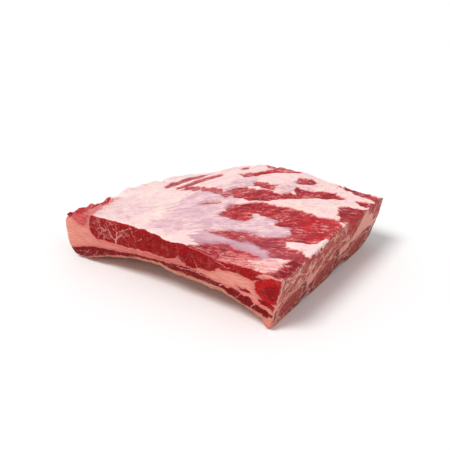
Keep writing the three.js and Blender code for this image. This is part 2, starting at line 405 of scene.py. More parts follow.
    def over_ribs(self, x: Array, y: Array) -> Array:
        """The height that the rib meat needs over the ribs."""
        most = np.zeros(np.shape(x))
        for rib in self.ribs:
            reach = np.abs(y - rib.y) / (rib.width / 2 + self.rib_cover * 2)
            lean = math.tan(math.radians(rib.tilt)) * (y - rib.y)
            swell = self.rib_half_height(rib, x) + self.rib_cover
            height = self.rib_middle(rib, x) + lean
            height = height + swell * np.sqrt(np.maximum(0.0, 1.0 - reach**3))
            most = np.maximum(most, np.where(reach < 1.0, height, 0.0))
        return most

    def meat_top(self, x: Array, y: Array) -> Array:
        """The height where the rib meat ends and the fat seam starts."""
        at_back = self.bottom(x, np.full(np.shape(x), self.back_y)) + self.back_meat_depth
        v = self.share_across(x, y)
        plain = self.front_meat_top(x) * (1 - v) + at_back * v
        return round_max(plain, self.over_ribs(x, y), self.rib_fold)

    def muscle_floor(self, x: Array, y: Array) -> Array:
        """The height where the fat seam ends and the top muscle starts."""
        u, v = self.share_along(x), self.share_across(x, y)
        left, right = self.back_muscle_depth_left, self.back_muscle_depth
        depth = left + (right - left) * ease(u, 0.0, self.left_part)
        plain = self.front_muscle_floor(x) * (1 - v) + (self.back_top(x) - depth) * v
        plain = plain + ease(u, self.left_part, 1.0) * self.right_muscle_swell(y)
        least = self.meat_top(x, y) + self.thinnest_fat
        raised = round_max(plain, least, self.seam_fold)
        return np.minimum(raised, self.top(x, y) - self.thinnest_muscle)

    def place(self, u: Array, v: Array, z: Array) -> Array:
        """Where the plan points (u, v), each from 0 to 1, lie at height z."""
        sink = 1.0 - np.clip(z / self.edge_height, 0.0, 1.0)
        left = self.left_outline(z)
        right = self.half_length - self.right_undercut * sink
        x = left + (right - left) * u
        swell = self.corner_swell * ease(x, self.corner_swell_from, self.half_length)
        swell = swell * hump(z, self.corner_swell_z, self.corner_swell_reach)
        back = self.back_y - self.back_inset(x) - self.back_undercut * sink**2 + swell
        front = self.front_y + self.front_undercut * sink
        y = front + (back - front) * v
        cornerness = (np.abs(2 * u - 1) * np.abs(2 * v - 1)) ** self.corner_sharpness
        pull = self.corner_pull * cornerness
        return np.stack([x - np.sign(x) * pull, y - np.sign(y) * pull, z], axis=-1)

    @property
    def borders(self) -> tuple[HeightField, ...]:
        """The height fields under, between and over the layers, from the bottom up."""
        return self.bottom, self.skin_top, self.meat_top, self.muscle_floor, self.top

    def settle(self, height: HeightField, u: Array, v: Array) -> Array:
        """The points of a height field that belong to the plan points (u, v).

        Args:
            height: a function of x and y.
            u: shares of the length.
            v: shares of the width.

        Returns:
            Points as rows of three.
        """
        at = self.place(u, v, np.full(np.shape(u), self.edge_height / 2))
        for _ in range(self.settle_steps):
            z = (at[..., 2] + height(at[..., 0], at[..., 1])) / 2
            at = self.place(u, v, z)
        return at


TONES = ("veil", "bright", "dark", "salmon")
NUMBERS = ("lean", "film", "skin", "bone", "salmon", "vein")


@dataclass(frozen=True)
class Patch:
    """A patch of one tissue on a face: its outline, and its tones.

    The outline's places are x and y on the upper face, x and z on the long cut face, and y
    and z on the sawn end. Of the tones, veil is a thin pale membrane over the lean, bright
    and dark shift its red, and salmon is a thin pink sheath. A film's veil is its
    thickness, which may pass 1.
    """

    outline: tuple[Station, ...]
    tissue: Tissue = Tissue.LEAN
    veil: float = 0.0
    bright: float = 0.0
    dark: float = 0.0
    salmon: float = 0.0

    def inside(self, x: Array, y: Array) -> Array:
        """How far inside the outline each point lies, negative outside.

        Args:
            x: the points' x.
            y: the points' y.

        Returns:
            Distances in millimetres.
        """
        nearest = np.full(len(x), np.inf)
        within = np.zeros(len(x), bool)
        ends = self.outline[1:] + self.outline[:1]
        for start, end in zip(self.outline, ends):
            _, gap = to_segment(x, y, start, end)
            nearest = np.minimum(nearest, gap)
            (ax, ay), (bx, by) = start, end
            if ay != by:
                crosses = (ay > y) != (by > y)
                within ^= crosses & (x < ax + (bx - ax) * (y - ay) / (by - ay))
        return np.where(within, nearest, -nearest)


LEAN_PATCHES = (
    Patch((
        (-84, 0), (-92, 22), (-98, 38), (-95, 56), (-87, 72), (-72, 74), (-57, 54),
        (-66, 46), (-69, 30), (-70, 8), (-73, -6),
    ), veil=0.45),
    Patch((
        (-62, -6), (-59, 14), (-57, 40), (-48, 47), (-40, 50), (-35, 34), (-41, 18),
        (-45, 2), (-54, -12),
    ), veil=0.3),
    Patch((
        (-48, -1), (-36, -5), (-20, -1), (-4, -2), (6, -2), (6, -12), (-10, -11),
        (-28, -15), (-46, -16),
    ), veil=0.45),
    Patch((
        (2, 89), (11, 104), (26, 112), (32, 93), (20, 81), (10, 73), (2, 60), (-1, 50),
        (-7, 54), (-4, 68), (1, 80),
    ), bright=0.5, veil=0.1),
    Patch(((-11, 92), (-5, 112), (4, 112), (4, 88), (-4, 82)), veil=0.85),
    Patch(((-18, 48), (-10, 58), (-2, 56), (-4, 44), (-11, 42)), veil=0.5),
    Patch(((-35, 72), (-31, 83), (-20, 67), (-28, 63)), veil=0.6),
    Patch((
        (37, 78), (40, 84), (48, 92), (54, 88), (55, 79), (50, 73), (42, 67), (38, 70),
    ), veil=0.1),
    Patch((
        (80, 101), (88, 106), (97, 106), (106, 100), (114, 94), (126, 88), (126, 76),
        (112, 80), (99, 84), (86, 85), (81, 91),
    ), dark=0.2),
    Patch(((73, 106), (78, 106), (77, 93), (73, 92))),
    Patch(((108, 66), (114, 71), (126, 74), (126, 60), (116, 62)), dark=0.3),
    Patch((
        (44, 56), (52, 62), (60, 65), (68, 69), (78, 71), (88, 68), (97, 66), (95, 60),
        (88, 57), (80, 50), (72, 46), (66, 39), (60, 31), (53, 26), (47, 30), (46, 38),
        (51, 43),
    )),
    Patch((
        (-3, 5), (3, 15), (9, 23), (15, 20), (22, 20), (28, 27), (34, 27), (42, 29),
        (46, 42), (52, 40), (56, 30), (51, 20), (46, 12), (40, 4), (32, -4), (24, -7),
        (14, -9), (6, -5), (0, -1),
    )),
    Patch((
        (8, 31), (10, 39), (20, 43), (31, 44), (36, 39), (33, 31), (24, 27), (14, 28),
    ), veil=0.1),
    Patch((
        (18, -22), (26, -14), (34, -7), (41, 1), (52, 4), (60, 7), (68, 10), (80, 8),
        (95, 5), (106, 8), (118, 10), (122, 1), (127, -4), (127, -20), (122, -28),
        (120, -38), (108, -44), (96, -48), (88, -46), (90, -36), (91, -30), (86, -27),
        (78, -28), (72, -25), (69, -20), (60, -20), (50, -18), (45, -22), (47, -30),
        (45, -38), (38, -43), (28, -45), (20, -45), (21, -38), (24, -33), (18, -29),
    )),
    Patch((
        (27, -75), (36, -69), (44, -61), (54, -52), (64, -50), (72, -53), (80, -49),
        (88, -44), (96, -47), (95, -53), (100, -57), (112, -58), (121, -61), (123, -66),
        (117, -71), (110, -76), (99, -79), (94, -76), (91, -70), (82, -71), (75, -68),
        (70, -66), (62, -70), (50, -72), (38, -74),
    ), veil=0.22),
    Patch((
        (26, -107), (33, -98), (41, -90), (48, -84), (54, -80), (59, -79), (62, -85),
        (58, -93), (60, -107),
    ), dark=0.15),
    Patch((
        (58, -84), (70, -86), (84, -84), (92, -85), (97, -89), (90, -92), (98, -96),
        (101, -107), (56, -107), (57, -93),
    ), salmon=0.8),
    Patch((
        (55, -79), (66, -82), (76, -81), (88, -79.5), (92, -82), (80, -86), (68, -88),
        (57, -86),
    ), bright=1.0, dark=0.2),
    # Darker meat at the front right corner's notch, partly painted shade: the form has no
    # hollow there, so the darkness also stands for the notch's shadow.
    Patch((
        (112, -76), (113, -66), (126, -66), (126, -98), (118, -104), (99, -104),
        (105, -100), (111, -95), (113, -86),
    ), dark=0.8),
    Patch((
        (101, 43), (106, 49), (114, 52), (126, 51), (126, 9), (116, 10), (112, 18),
        (107, 26), (104, 35),
    ), dark=0.35),
    Patch((
        (-126, -44), (-114, -48), (-111, -60), (-106, -74), (-100, -88), (-97, -107),
        (-126, -107),
    ), bright=0.75),
    Patch((
        (-113, -40), (-108, -50), (-103, -58), (-98, -54), (-101, -66), (-95, -70),
        (-97, -78), (-91, -84), (-87, -82), (-91, -92), (-86, -98), (-84, -107),
        (-98, -107), (-101, -88), (-107, -72), (-112, -58),
    ), bright=0.5, salmon=0.95),
    Patch(((-7, -38), (0, -28), (7, -21), (9, -23), (2, -30), (-4, -38))),
    Patch((
        (84, -92), (90, -88), (97, -84), (103, -81), (109, -79), (112, -87), (111, -96),
        (104, -101), (96, -102), (91, -97), (86, -99),
    ), Tissue.FAT, salmon=1.0),
    Patch((
        (36, 30), (30, 40), (33, 50), (38, 50), (41, 40), (44, 30),
    ), Tissue.FAT, salmon=0.4),
)

# Film on the upper face; of these patches, the fifth is film with a painted sparkle and the
# last is painted shade.
FILM_SHADE_AND_SPARKLE_PATCHES = (
    Patch((
        (-27, -14), (-12, -13), (4, -4), (10, -8), (18, -14), (19, -24), (19, -40),
        (30, -47), (44, -40), (48, -28), (52, -19), (64, -20), (72, -26), (86, -28),
        (90, -36), (84, -44), (70, -50), (56, -50), (44, -60), (30, -68), (16, -76),
        (4, -82), (-4, -92), (-16, -94), (-14, -78), (-20, -60), (-27, -44), (-24, -30),
    ), Tissue.FILM, veil=0.88),
    Patch((
        (36, -76), (50, -72), (62, -69), (74, -67), (84, -71), (92, -72), (99, -80),
        (88, -83), (70, -83), (58, -80), (46, -84), (38, -92), (30, -90), (24, -84),
    ), Tissue.FILM, veil=1.35),
    Patch((
        (-92, -70), (-84, -60), (-70, -64), (-56, -58), (-44, -62), (-42, -78), (-46, -98),
        (-60, -102), (-80, -100), (-86, -88),
    ), Tissue.FILM, veil=0.52),
    Patch((
        (0, 40), (6, 36), (12, 26), (8, 14), (-2, 6), (-8, 2), (-10, 14), (-4, 30),
    ), Tissue.FILM, veil=0.8),
    # Film with a painted highlight: this pale white-lilac patch stands for the film there
    # and for the wet sparkle on it.
    Patch((
        (38, 66), (48, 72), (60, 74), (58, 64), (48, 58), (40, 54), (30, 48), (36, 42),
        (44, 46),
    ), Tissue.FILM, veil=0.7),
    # Painted shade: this weak grey-lilac film patch at the front left stands for the dusky
    # shadow there.
    Patch((
        (-118, -42), (-104, -42), (-94, -60), (-88, -64), (-92, -44), (-88, -26),
        (-98, -26),
    ), Tissue.FILM, veil=0.35),
)

FRONT_PATCHES = (
    Patch((
        (99, 34), (103, 41), (111, 45.5), (119, 47.5), (130, 49), (130, 30), (122, 29),
        (116, 29), (111, 25.5), (104, 27.5), (101, 31),
    ), bright=0.75),
    Patch((
        (102, 36), (107, 40), (112, 43), (118, 44), (119.5, 39), (118, 32), (113, 29),
        (108, 32),
    ), dark=0.9),
    Patch((
        (50, 38.5), (56, 39.3), (62.4, 43.5), (69, 44.2), (78, 46.5), (86, 44.3),
        (93, 44.2), (100, 46.2), (104, 50), (103, 58), (50, 60),
    ), bright=0.25, dark=0.2),
    Patch((
        (20, 38), (24, 36.5), (28.5, 34.8), (35, 34.4), (40, 37), (43, 39), (48, 37.4),
        (53, 39), (50, 46), (20, 46),
    )),
    Patch(((99, 27), (110, 27.5), (117, 24), (113, 19), (104, 22))),
    Patch(((79, 33), (90, 32), (95, 29), (84, 29.5))),
    Patch((
        (-126, 36), (-96, 36), (-91, 42), (-90.5, 52), (-100, 51), (-112, 50), (-126, 48),
    ), Tissue.FAT, salmon=0.35),
    Patch((
        (-119, 56), (-117, 50), (-113, 45), (-108, 41.5), (-100, 39.2), (-94.5, 41),
        (-92.5, 46), (-92, 56),
    ), bright=0.85, salmon=0.4),
    Patch(((9, 36), (15, 38.5), (19, 42), (20.5, 39), (21, 36), (16, 34.5)), Tissue.FAT),
    Patch(((99, 48), (110, 49), (124, 51), (128, 56), (106, 57), (103, 52)), Tissue.FAT),
)

END_PATCHES = (
    Patch(((7, 62), (53, 62), (51, 54), (44, 43), (32, 35), (14, 44)), bright=0.85),
    Patch((
        (57, 62), (92, 62), (98, 42), (98, 30), (88, 36), (80, 42), (64, 47), (58, 53),
    ), bright=0.6),
    Patch(((32, 28), (60, 19), (73, 8), (73, -2), (43, 12)), dark=0.8),
    Patch((
        (55, 54), (78, 42), (84, 36), (65, 34), (53, 31), (43, 29), (31, 33), (42, 42),
        (48, 52),
    ), Tissue.FAT),
    Patch(((61, 18), (68, 18), (68, 12), (61, 12)), Tissue.FAT),
    Patch(((-20, 38), (-8, 30), (10, 26), (24, 8), (4, 12), (-12, 20))),
)


@dataclass(frozen=True)
class Vein:
    """A vein of fat across a cut face: its course, and its half-width at both ends."""

    course: tuple[Station, ...]
    start: float
    end: float

    def inside(self, a: Array, b: Array) -> Array:
        """How far inside the vein each point lies, negative outside.

        Args:
            a: the points' first places on the face.
            b: their second places.

        Returns:
            Distances in millimetres.
        """
        best = np.full(len(a), OUTSIDE)
        for i, (start, end) in enumerate(zip(self.course, self.course[1:])):
            along, gap = to_segment(a, b, start, end)
            share = (i + along) / (len(self.course) - 1)
            half = self.start + (self.end - self.start) * share
            best = np.maximum(best, half - gap)
        return best


FRONT_VEINS = (
    Vein(((-67, 48), (-63.6, 42.7), (-58.4, 38.5), (-55.9, 35.8), (-56, 32)), 0.38, 0.98),
    Vein(((-59, 56), (-57.3, 49), (-52, 45.9), (-54, 39.7), (-56, 35)), 0.38, 0.83),
    Vein(((-44.7, 50.2), (-48, 43.6), (-52.7, 39), (-56, 34)), 0.3, 0.75),
    Vein(((-50, 46.2), (-46.2, 48.6), (-35, 53)), 0.38, 0.3),
    Vein(((-37, 54), (-33.9, 48.7), (-30, 45), (-30, 41)), 0.45, 0.22),
    Vein(((-19, 53), (-21.9, 47.6), (-27.4, 45)), 0.3, 0.38),
    Vein(((-79, 42), (-75.1, 44.3), (-71.3, 44.6), (-69, 42.5)), 0.45, 0.38),
    Vein(((-76, 38), (-72, 40), (-70, 37)), 0.3, 0.38),
    Vein(((-88, 56), (-89.6, 46), (-91.5, 38)), 0.9, 0.98),
    Vein(((12, 46), (21, 42.7), (24.6, 39.4), (27, 36)), 0.1, 0.5),
    Vein(((34, 48), (35.6, 44), (37.3, 40), (38, 37)), 0.1, 0.5),
    Vein(((124, 50), (122.5, 38), (121, 26), (118, 14)), 0.52, 0.52),
    Vein(((58, 50), (66, 48.5), (74, 48)), 0.38, 0.22),
    Vein(((-112, 9), (-100, 11), (-90, 11), (-80, 14), (-70, 17)), 0.05, 0.05),
    Vein(((-104, 5), (-98, 10), (-95, 14)), 0.1, 0.2),
    Vein(((-92, 8), (-86, 12), (-83, 17)), 0.1, 0.2),
    Vein(((16, 31), (30, 31.8), (44, 31.4), (56, 30)), 0.3, 0.38),
    Vein(((60, 24), (64, 28), (70, 31)), 0.3, 0.6),
    Vein(((78, 21), (82, 25), (84, 29)), 0.3, 0.6),
    Vein(((92, 16), (96, 20), (99, 24)), 0.38, 0.68),
)

END_VEINS = (
    Vein(((-104, 54), (-100, 46.6), (-98, 36), (-100, 30)), 1.0, 1.3),
    Vein((
        (-97, 6), (-91.8, 15), (-88.6, 23), (-79.8, 27), (-68, 27.6), (-58, 27), (-54, 30),
    ), 0.9, 1.0),
    Vein(((-81, 46), (-68, 41), (-56.5, 35.5), (-46.5, 35), (-42, 44)), 0.7, 0.6),
    Vein(((-34, 25), (-27, 30), (-27, 39)), 0.8, 0.5),
    Vein(((-51, 27), (-45, 17), (-46, 12)), 0.8, 1.2),
    Vein(((-58, 32), (-47, 44), (-44.5, 55)), 0.8, 0.6),
    Vein(((-38, 27), (-28, 28), (-24, 37.8), (-12.6, 41), (0, 41)), 0.8, 0.6),
    Vein(((8, 32), (8, 40), (18, 37), (31, 33)), 0.8, 1.0),
    Vein(((-14, 31), (-4, 26), (4, 18), (7, 8)), 0.6, 0.8),
    Vein(((30, 28), (50, 25), (66, 32), (84, 33)), 0.8, 0.8),
    Vein(((-100, 24), (-94, 32), (-84, 36), (-74, 36)), 0.7, 0.5),
    Vein(((-94, 50), (-84, 44), (-74, 44), (-66, 50)), 0.4, 0.5),
)


@dataclass(frozen=True)
class Wall:
    """A cut face: its share in a site, its two axes, and what is drawn on it."""

    side: str
    axes: tuple[int, int]
    patches: tuple[Patch, ...]
    veins: tuple[Vein, ...]


WALLS = (
    Wall("front", (0, 2), FRONT_PATCHES, FRONT_VEINS),
    Wall("right", (1, 2), END_PATCHES, END_VEINS),
)


@dataclass
class Tissues:
    """What shows at each of a set of points. Distances are millimetres, the rest shares."""

    lean: Array
    film: Array
    skin: Array
    veil: Array
    bright: Array
    dark: Array
    salmon: Array
    cream: Array
    sawn: Array
    veins: Array
    fibre: Array
    bone: Array
    upper: Array
    vein: Array

    def pick(self, index: Array) -> Tissues:
        """The tissues of some of the points, by their index."""
        return Tissues(**{name: values[index] for name, values in vars(self).items()})


@dataclass
class Site:
    """Where each of a set of points lies on the slab.

    The faces are shares from 0 to 1. The depth is under the upper face, and the floor and
    the meat are the heights of the top muscle's floor and of the rib meat's top.
    """

    points: Array
    warped: Array
    left: Array
    right: Array
    front: Array
    back: Array
    upper: Array
    under: Array
    depth: Array
    floor: Array
    meat: Array

    @property
    def below(self) -> Array:
        """The share that isn't upper face."""
        return 1.0 - self.upper

    @property
    def wall(self) -> Array:
        """The share that is neither upper face nor underside."""
        return 1.0 - np.maximum(self.upper, self.under)


@dataclass
class Anatomy:
    """Which tissue shows where on the slab.

    A span is where something fades in, nothing at its first number and whole at its
    second, or, where its name ends in at or height, a hump's middle and reach. A rag drops
    the upper face's edge: how far, and its middle and reach along the slab. A glow is a
    brighter spot of lean: its middle and its reach.
    """

    form: SlabForm
    fibre_root: Station = (-80.0, -138.0)
    fibre_reach: float = 170.0
    corner_muscle: Triple = (125.0, -106.0, 39.0)
    corner_reach: Triple = (28.0, 52.0, 13.5)
    rib_depth_gain: float = 1.3
    cover_on_right: Curve = Curve(
        (-104, 0), (-68, 0.3), (-58, 1.8), (-44, 3), (-30, 1.8), (-22, 1.0), (-14, 0.2),
        (-7, 0.3), (0, 2.4), (8, 3.2), (14, 1.6), (22, 0), (50, 0.2), (60, 1.6),
        (74, 1.2), (86, 0),
    )
    cover_at_back: float = 2.6
    cover_rough: float = 1.1
    facing: Span = (0.5, 0.7)
    underside: Span = (0.8, 2.2)
    edge_fade: Span = (-0.5, 0.7)
    edge_reach: float = 20.0
    ragged_coarse: float = 1.5
    ragged_fine: float = 0.6
    rags: tuple[Triple, ...] = ((1.4, 84.0, 22.0), (0.8, -100.0, 16.0))
    warp_reach: float = 1.5
    streak_slide: float = 4.0
    streak_length: float = 7.0
    border_bend: float = 1.8
    film_slide: float = 3.2
    film_bend: float = 3.0
    tone_reach: float = 3.0
    salmon_reach: float = 9.0
    tone_whole_at: float = 2.5
    fat_tone: Span = (-4.0, 3.0)
    film_edge: Span = (-8.0, -1.0)
    glow: float = 0.6
    glows: tuple[Triple, ...] = (
        (98, -8, 15), (114, -30, 10), (45, -31, 7), (-116, -74, 12),
    )
    upper_depth: float = 9.0
    fringe_width: float = 5.0
    fringe_nibble: float = 4.5
    broken: float = 5.0
    broken_from: Span = (30.0, 80.0)
    torn: float = 1.8
    torn_left: Span = (-75.0, -40.0)
    torn_right: Span = (0.0, 35.0)
    torn_below_floor: Span = (8.0, 2.0)
    thin_seam: Span = (3.0, 6.0)
    thin_seam_close: float = 2.4
    skin_line: float = 0.55
    skin_line_depth: float = 0.9
    skin_line_until: Span = (-40.0, -15.0)
    skin_trim: float = 0.8
    skin_trim_from: Span = (-30.0, 5.0)
    skin_trim_until: Span = (92.0, 102.0)
    nub: float = 3.0
    nub_at: Span = (112.0, 7.0)
    nub_tone_at: Span = (112.0, 9.0)
    nub_tone_height: Span = (4.0, 9.0)
    nub_front: float = -70.0
    lobe_gain: float = 9.0
    lobe_fat: float = 1.5
    corner_bright: float = 0.7
    left_bright: float = 0.8
    left_bright_at: Span = (-120.0, 9.0)
    left_bright_from: Span = (41.0, 46.0)
    rim_bright: float = 0.6
    rim_bright_at: Span = (-60.0, 50.0)
    rim_bright_until: Span = (1.0, 5.0)
    meat_dark: float = 0.95
    rosy_at: Span = (-25.0, 66.0)
    smear_along: float = 0.93
    smear_rise: float = 0.36
    front_grain: float = 1.6
    vein_share: float = 0.1
    vein_cluster: float = 0.4
    vein_cluster_at: Span = (-64.0, 26.0)
    warp: Noise = field(default_factory=lambda: Noise(11))
    jag: Noise = field(default_factory=lambda: Noise(12))

    def fibres(self, x: Array, y: Array, z: Array) -> Array:
        """Places along, across and under the fibres, which fan out from one root."""
        dx, dy = x - self.fibre_root[0], y - self.fibre_root[1]
        return np.stack([np.hypot(dx, dy), np.arctan2(dy, dx) * self.fibre_reach, z], 1)

    def egg(self, points: Array) -> Array:
        """How deep points lie inside the corner muscle, roughly in millimetres."""
        reach = np.array(self.corner_reach)
        radius = np.linalg.norm((points - self.corner_muscle) / reach, axis=1)
        return (1.0 - radius) * reach.min()

    def rib_depth(self, points: Array) -> Array:
        """How deep points lie inside the nearest rib, in millimetres, negative outside."""
        x, y, z = points.T
        power = 2.0 / self.form.rib_squareness
        depths = []
        for rib in self.form.ribs:
            tilt = math.radians(rib.tilt)
            dy, dz = y - rib.y, z - self.form.rib_middle(rib, x)
            across = dy * math.cos(tilt) + dz * math.sin(tilt)
            upward = dz * math.cos(tilt) - dy * math.sin(tilt)
            half = self.form.rib_half_height(rib, x)
            radius = np.abs(across / (rib.width / 2)) ** power
            radius = (radius + np.abs(upward / half) ** power) ** (1.0 / power)
            depths.append((1.0 - radius) * half * self.rib_depth_gain)
        return np.max(depths, axis=0)

    def past_edge(self, points: Array, normals: Array, depth: Array) -> Array:
        """How far points lie past the upper face's ragged edge.

        Args:
            points: rows of x, y and z.
            normals: which way the outside faces there.
            depth: how far under the upper face they lie.

        Returns:
            Distances in millimetres, negative on the upper face.
        """
        x, y, _ = points.T
        rise = np.clip(normals[:, 2], 0.0, 1.0)
        from_edge = np.minimum(y - self.form.front_y, self.form.half_length - x)
        over = depth * (1.0 - rise) - np.minimum(from_edge, self.edge_reach) * rise
        ragged = self.ragged_coarse * self.jag.at(points, 7.0)
        ragged = ragged + self.ragged_fine * self.jag.at(points, 2.6)
        for drop, middle, reach in self.rags:
            ragged = ragged + drop * hump(x, middle, reach)
        return over + ragged * (y < self.form.front_y + 6.0)

    def survey(self, points: Array, normals: Array) -> Site:
        """Says where points on the slab's outside lie.

        Args:
            points: rows of x, y and z in millimetres.
            normals: which way the outside faces there.

        Returns:
            Their site.
        """
        form = self.form
        x, y, z = points.T
        depth = form.top(x, y) - z
        upper = 1.0 - ease(self.past_edge(points, normals, depth), *self.edge_fade)
        bends = [self.warp.rough(points + 31.0 * i, 8.0, 3) for i in range(3)]
        return Site(
            points=points,
            warped=points + self.warp_reach * np.stack(bends, 1),
            left=ease(-normals[:, 0], *self.facing),
            right=ease(normals[:, 0], *self.facing) * (1.0 - upper),
            front=ease(-normals[:, 1], *self.facing),
            back=ease(normals[:, 1], *self.facing),
            upper=upper,
            under=1.0 - ease(z - form.bottom(x, y), *self.underside),
            depth=depth,
            floor=form.muscle_floor(x, y),
            meat=form.meat_top(x, y),
        )

    def lay(self, patch: Patch, depth: Array, found: dict[str, Array]) -> None:
        """Lays a patch of lean or fat over what the upper face has so far.

        Args:
            patch: the patch.
            depth: how far inside it the points lie.
            found: the distances and tones, which it changes.
        """
        if patch.tissue is Tissue.FAT:
            found["lean"] = np.minimum(found["lean"], -depth)
            share = patch.salmon * ease(depth, *self.fat_tone)
            found["salmon"] = np.maximum(found["salmon"], share)
            return
        nearer = depth > found["lean"]
        found["lean"] = np.where(nearer, depth, found["lean"])
        for name in TONES:
            reach = self.salmon_reach if name == "salmon" else self.tone_reach
            tone = getattr(patch, name) * ease(depth, -reach, self.tone_whole_at)
            found[name] = np.where(nearer, tone, found[name])

    def upper_face(self, x: Array, y: Array) -> dict[str, Array]:
        """Reads the patches of the upper face.

        Args:
            x: the points' x.
            y: the points' y.

        Returns:
            The signed distance into lean, the share of film, and the tones.
        """
        flat = np.stack([x, y, np.zeros(len(x))], 1)
        along, across, level = self.fibres(x, y, flat[:, 2]).T
        way = np.arctan2(y - self.fibre_root[1], x - self.fibre_root[0])
        stretched = np.stack([along / self.streak_length, across, level], 1)
        slide = self.streak_slide * self.jag.rough(stretched, 7.0, 2)
        bend_x, bend_y = (self.warp.rough(flat + 50.0 * i, 11.0, 3) for i in range(2))

        def shifted(push: Array, bend: float) -> tuple[Array, Array]:
            """The places pushed along the fibres, and bent."""
            new_x = x + push * np.cos(way) + bend * bend_x
            return new_x, y + push * np.sin(way) + bend * bend_y

        found = {name: np.zeros(len(x)) for name in ("film", *TONES)}
        found["lean"] = np.full(len(x), OUTSIDE)
        place = shifted(slide, self.border_bend)
        for patch in LEAN_PATCHES:
            self.lay(patch, patch.inside(*place), found)
        place = shifted(self.film_slide * slide, self.film_bend)
        for patch in FILM_SHADE_AND_SPARKLE_PATCHES:
            share = patch.veil * ease(patch.inside(*place), *self.film_edge)
            found["film"] = np.maximum(found["film"], share)
        for glow_x, glow_y, reach in self.glows:
            glow = np.exp(-(((x - glow_x) ** 2 + (y - glow_y) ** 2) / reach**2))
            found["bright"] = np.maximum(found["bright"], self.glow * glow)
        return found

    def read_upper(self, site: Site) -> dict[str, Array]:
        """Reads the upper face where points are near it, with the fringe on its right."""
        x, y, _ = site.points.T
        near = site.depth < self.upper_depth
        face = {name: np.zeros(len(x)) for name in ("film", *TONES)}
        face["lean"] = np.full(len(x), OUTSIDE)
        for name, values in self.upper_face(x[near], y[near]).items():
            face[name][near] = values
        fringe = hump(self.form.half_length - x, 0.0, self.fringe_width)
        fringe = fringe * ease(self.cover_on_right(y), 0.5, 2.0)
        nibble = 1.0 + self.fringe_nibble * self.jag.rough(site.points + 23.0, 3.2, 2)
        face["lean"] = face["lean"] - fringe * nibble
        return face

    def cut_face(self, wall: Wall, place: Array, lean: Array) -> tuple[Array, ...]:
        """Reads the patches and veins of a cut face.

        Args:
            wall: the cut face.
            place: rows of the points' two places on it.
            lean: how far inside lean the points lie without the patches.

        Returns:
            The new distances into lean and into veins, and a row for each tone.
        """
        a, b = place.T
        tones = np.zeros((len(TONES), len(a)))
        for patch in wall.patches:
            depth = patch.inside(a, b)
            is_fat = patch.tissue is Tissue.FAT
            lean = np.minimum(lean, -depth) if is_fat else np.maximum(lean, depth)
            own = np.array([getattr(patch, name) for name in TONES])
            tones = np.maximum(tones, own[:, None] * ease(depth, -1.0, 1.5))
        vein = np.full(len(a), OUTSIDE)
        for course in wall.veins:
            vein = np.maximum(vein, course.inside(a, b))
        return lean, vein, tones

    def read_walls(self, site: Site) -> tuple[Array, Array, Array]:
        """Reads the cut faces, as they are without the fat that folds over them.

        Args:
            site: where the points lie.

        Returns:
            The distances into lean and into veins, and a row for each tone.
        """
        x, _, z = site.points.T
        cut = np.maximum(z - site.floor, site.meat - z)
        gaps = np.maximum(self.jag.at(site.points + 70.0, 8.0), 0.0)
        broken = ease(x, *self.broken_from) * site.front * gaps
        cut = np.where(z < site.meat, cut - self.broken * broken, cut)
        torn = 0.5 * ease(x, *self.torn_left) + 0.5 * ease(x, *self.torn_right)
        torn = site.front * torn * ease(site.floor - z, *self.torn_below_floor)
        cut = cut + self.torn * torn * self.jag.rough(site.points + 90.0, 6.0, 2)
        cut = np.maximum(cut, self.egg(site.warped))
        vein = np.full(len(x), OUTSIDE)
        tones = np.zeros((len(TONES), len(x)))
        for wall in WALLS:
            here = getattr(site, wall.side) > 0.5
            place = site.warped[here][:, list(wall.axes)]
            found = self.cut_face(wall, place, cut[here])
            cut[here], vein[here], tones[:, here] = found
        return cut, vein, tones

    def cover(self, site: Site, cut: Array, upper_lean: Array) -> tuple[Array, Array]:
        """Folds the upper face's fat over the cut faces, and closes a thin seam.

        Args:
            site: where the points lie.
            cut: how far inside lean they lie without it.
            upper_lean: how far inside lean the upper face is there.

        Returns:
            The new distances into lean, and the share of the folded fat.
        """
        z = site.points[:, 2]
        fold = site.right * self.cover_on_right(site.points[:, 1])
        behind = np.maximum(site.left, site.back)
        fold = np.maximum(fold, self.cover_at_back * behind * (1.0 - site.front))
        fold = fold * ease(-upper_lean, -1.0, 1.5)
        fold = fold * (1.0 + self.cover_rough * self.jag.rough(site.points, 4.0, 2))
        cut = np.where(fold > 0.05, np.minimum(cut, site.depth - fold), cut)
        covered = ease(fold, 0.3, 1.5) * (1.0 - ease(site.depth - fold, 0.0, 1.4))
        in_seam = (z < site.floor) & (z > site.meat)
        seam = np.where(in_seam, site.floor - site.meat, 0.0)
        thin = site.right * (1.0 - ease(seam, *self.thin_seam))
        return cut + self.thin_seam_close * thin * ease(site.depth, 5.0, 9.0), covered

    def read_skin(self, site: Site) -> Array:
        """How deep points lie in the inner skin: a line at the left, a strip, the nub."""
        x, y, z = site.points.T
        front = site.front
        skin = self.form.skin_top(x, y) - z
        line = self.skin_line - np.abs(skin - self.skin_line_depth)
        skin = skin + (line - skin) * front * (1.0 - ease(x, *self.skin_line_until))
        trim = self.skin_trim * front * ease(x, *self.skin_trim_from)
        skin = skin - trim * (1.0 - ease(x, *self.skin_trim_until))
        return skin + self.nub * front * hump(x, *self.nub_at)

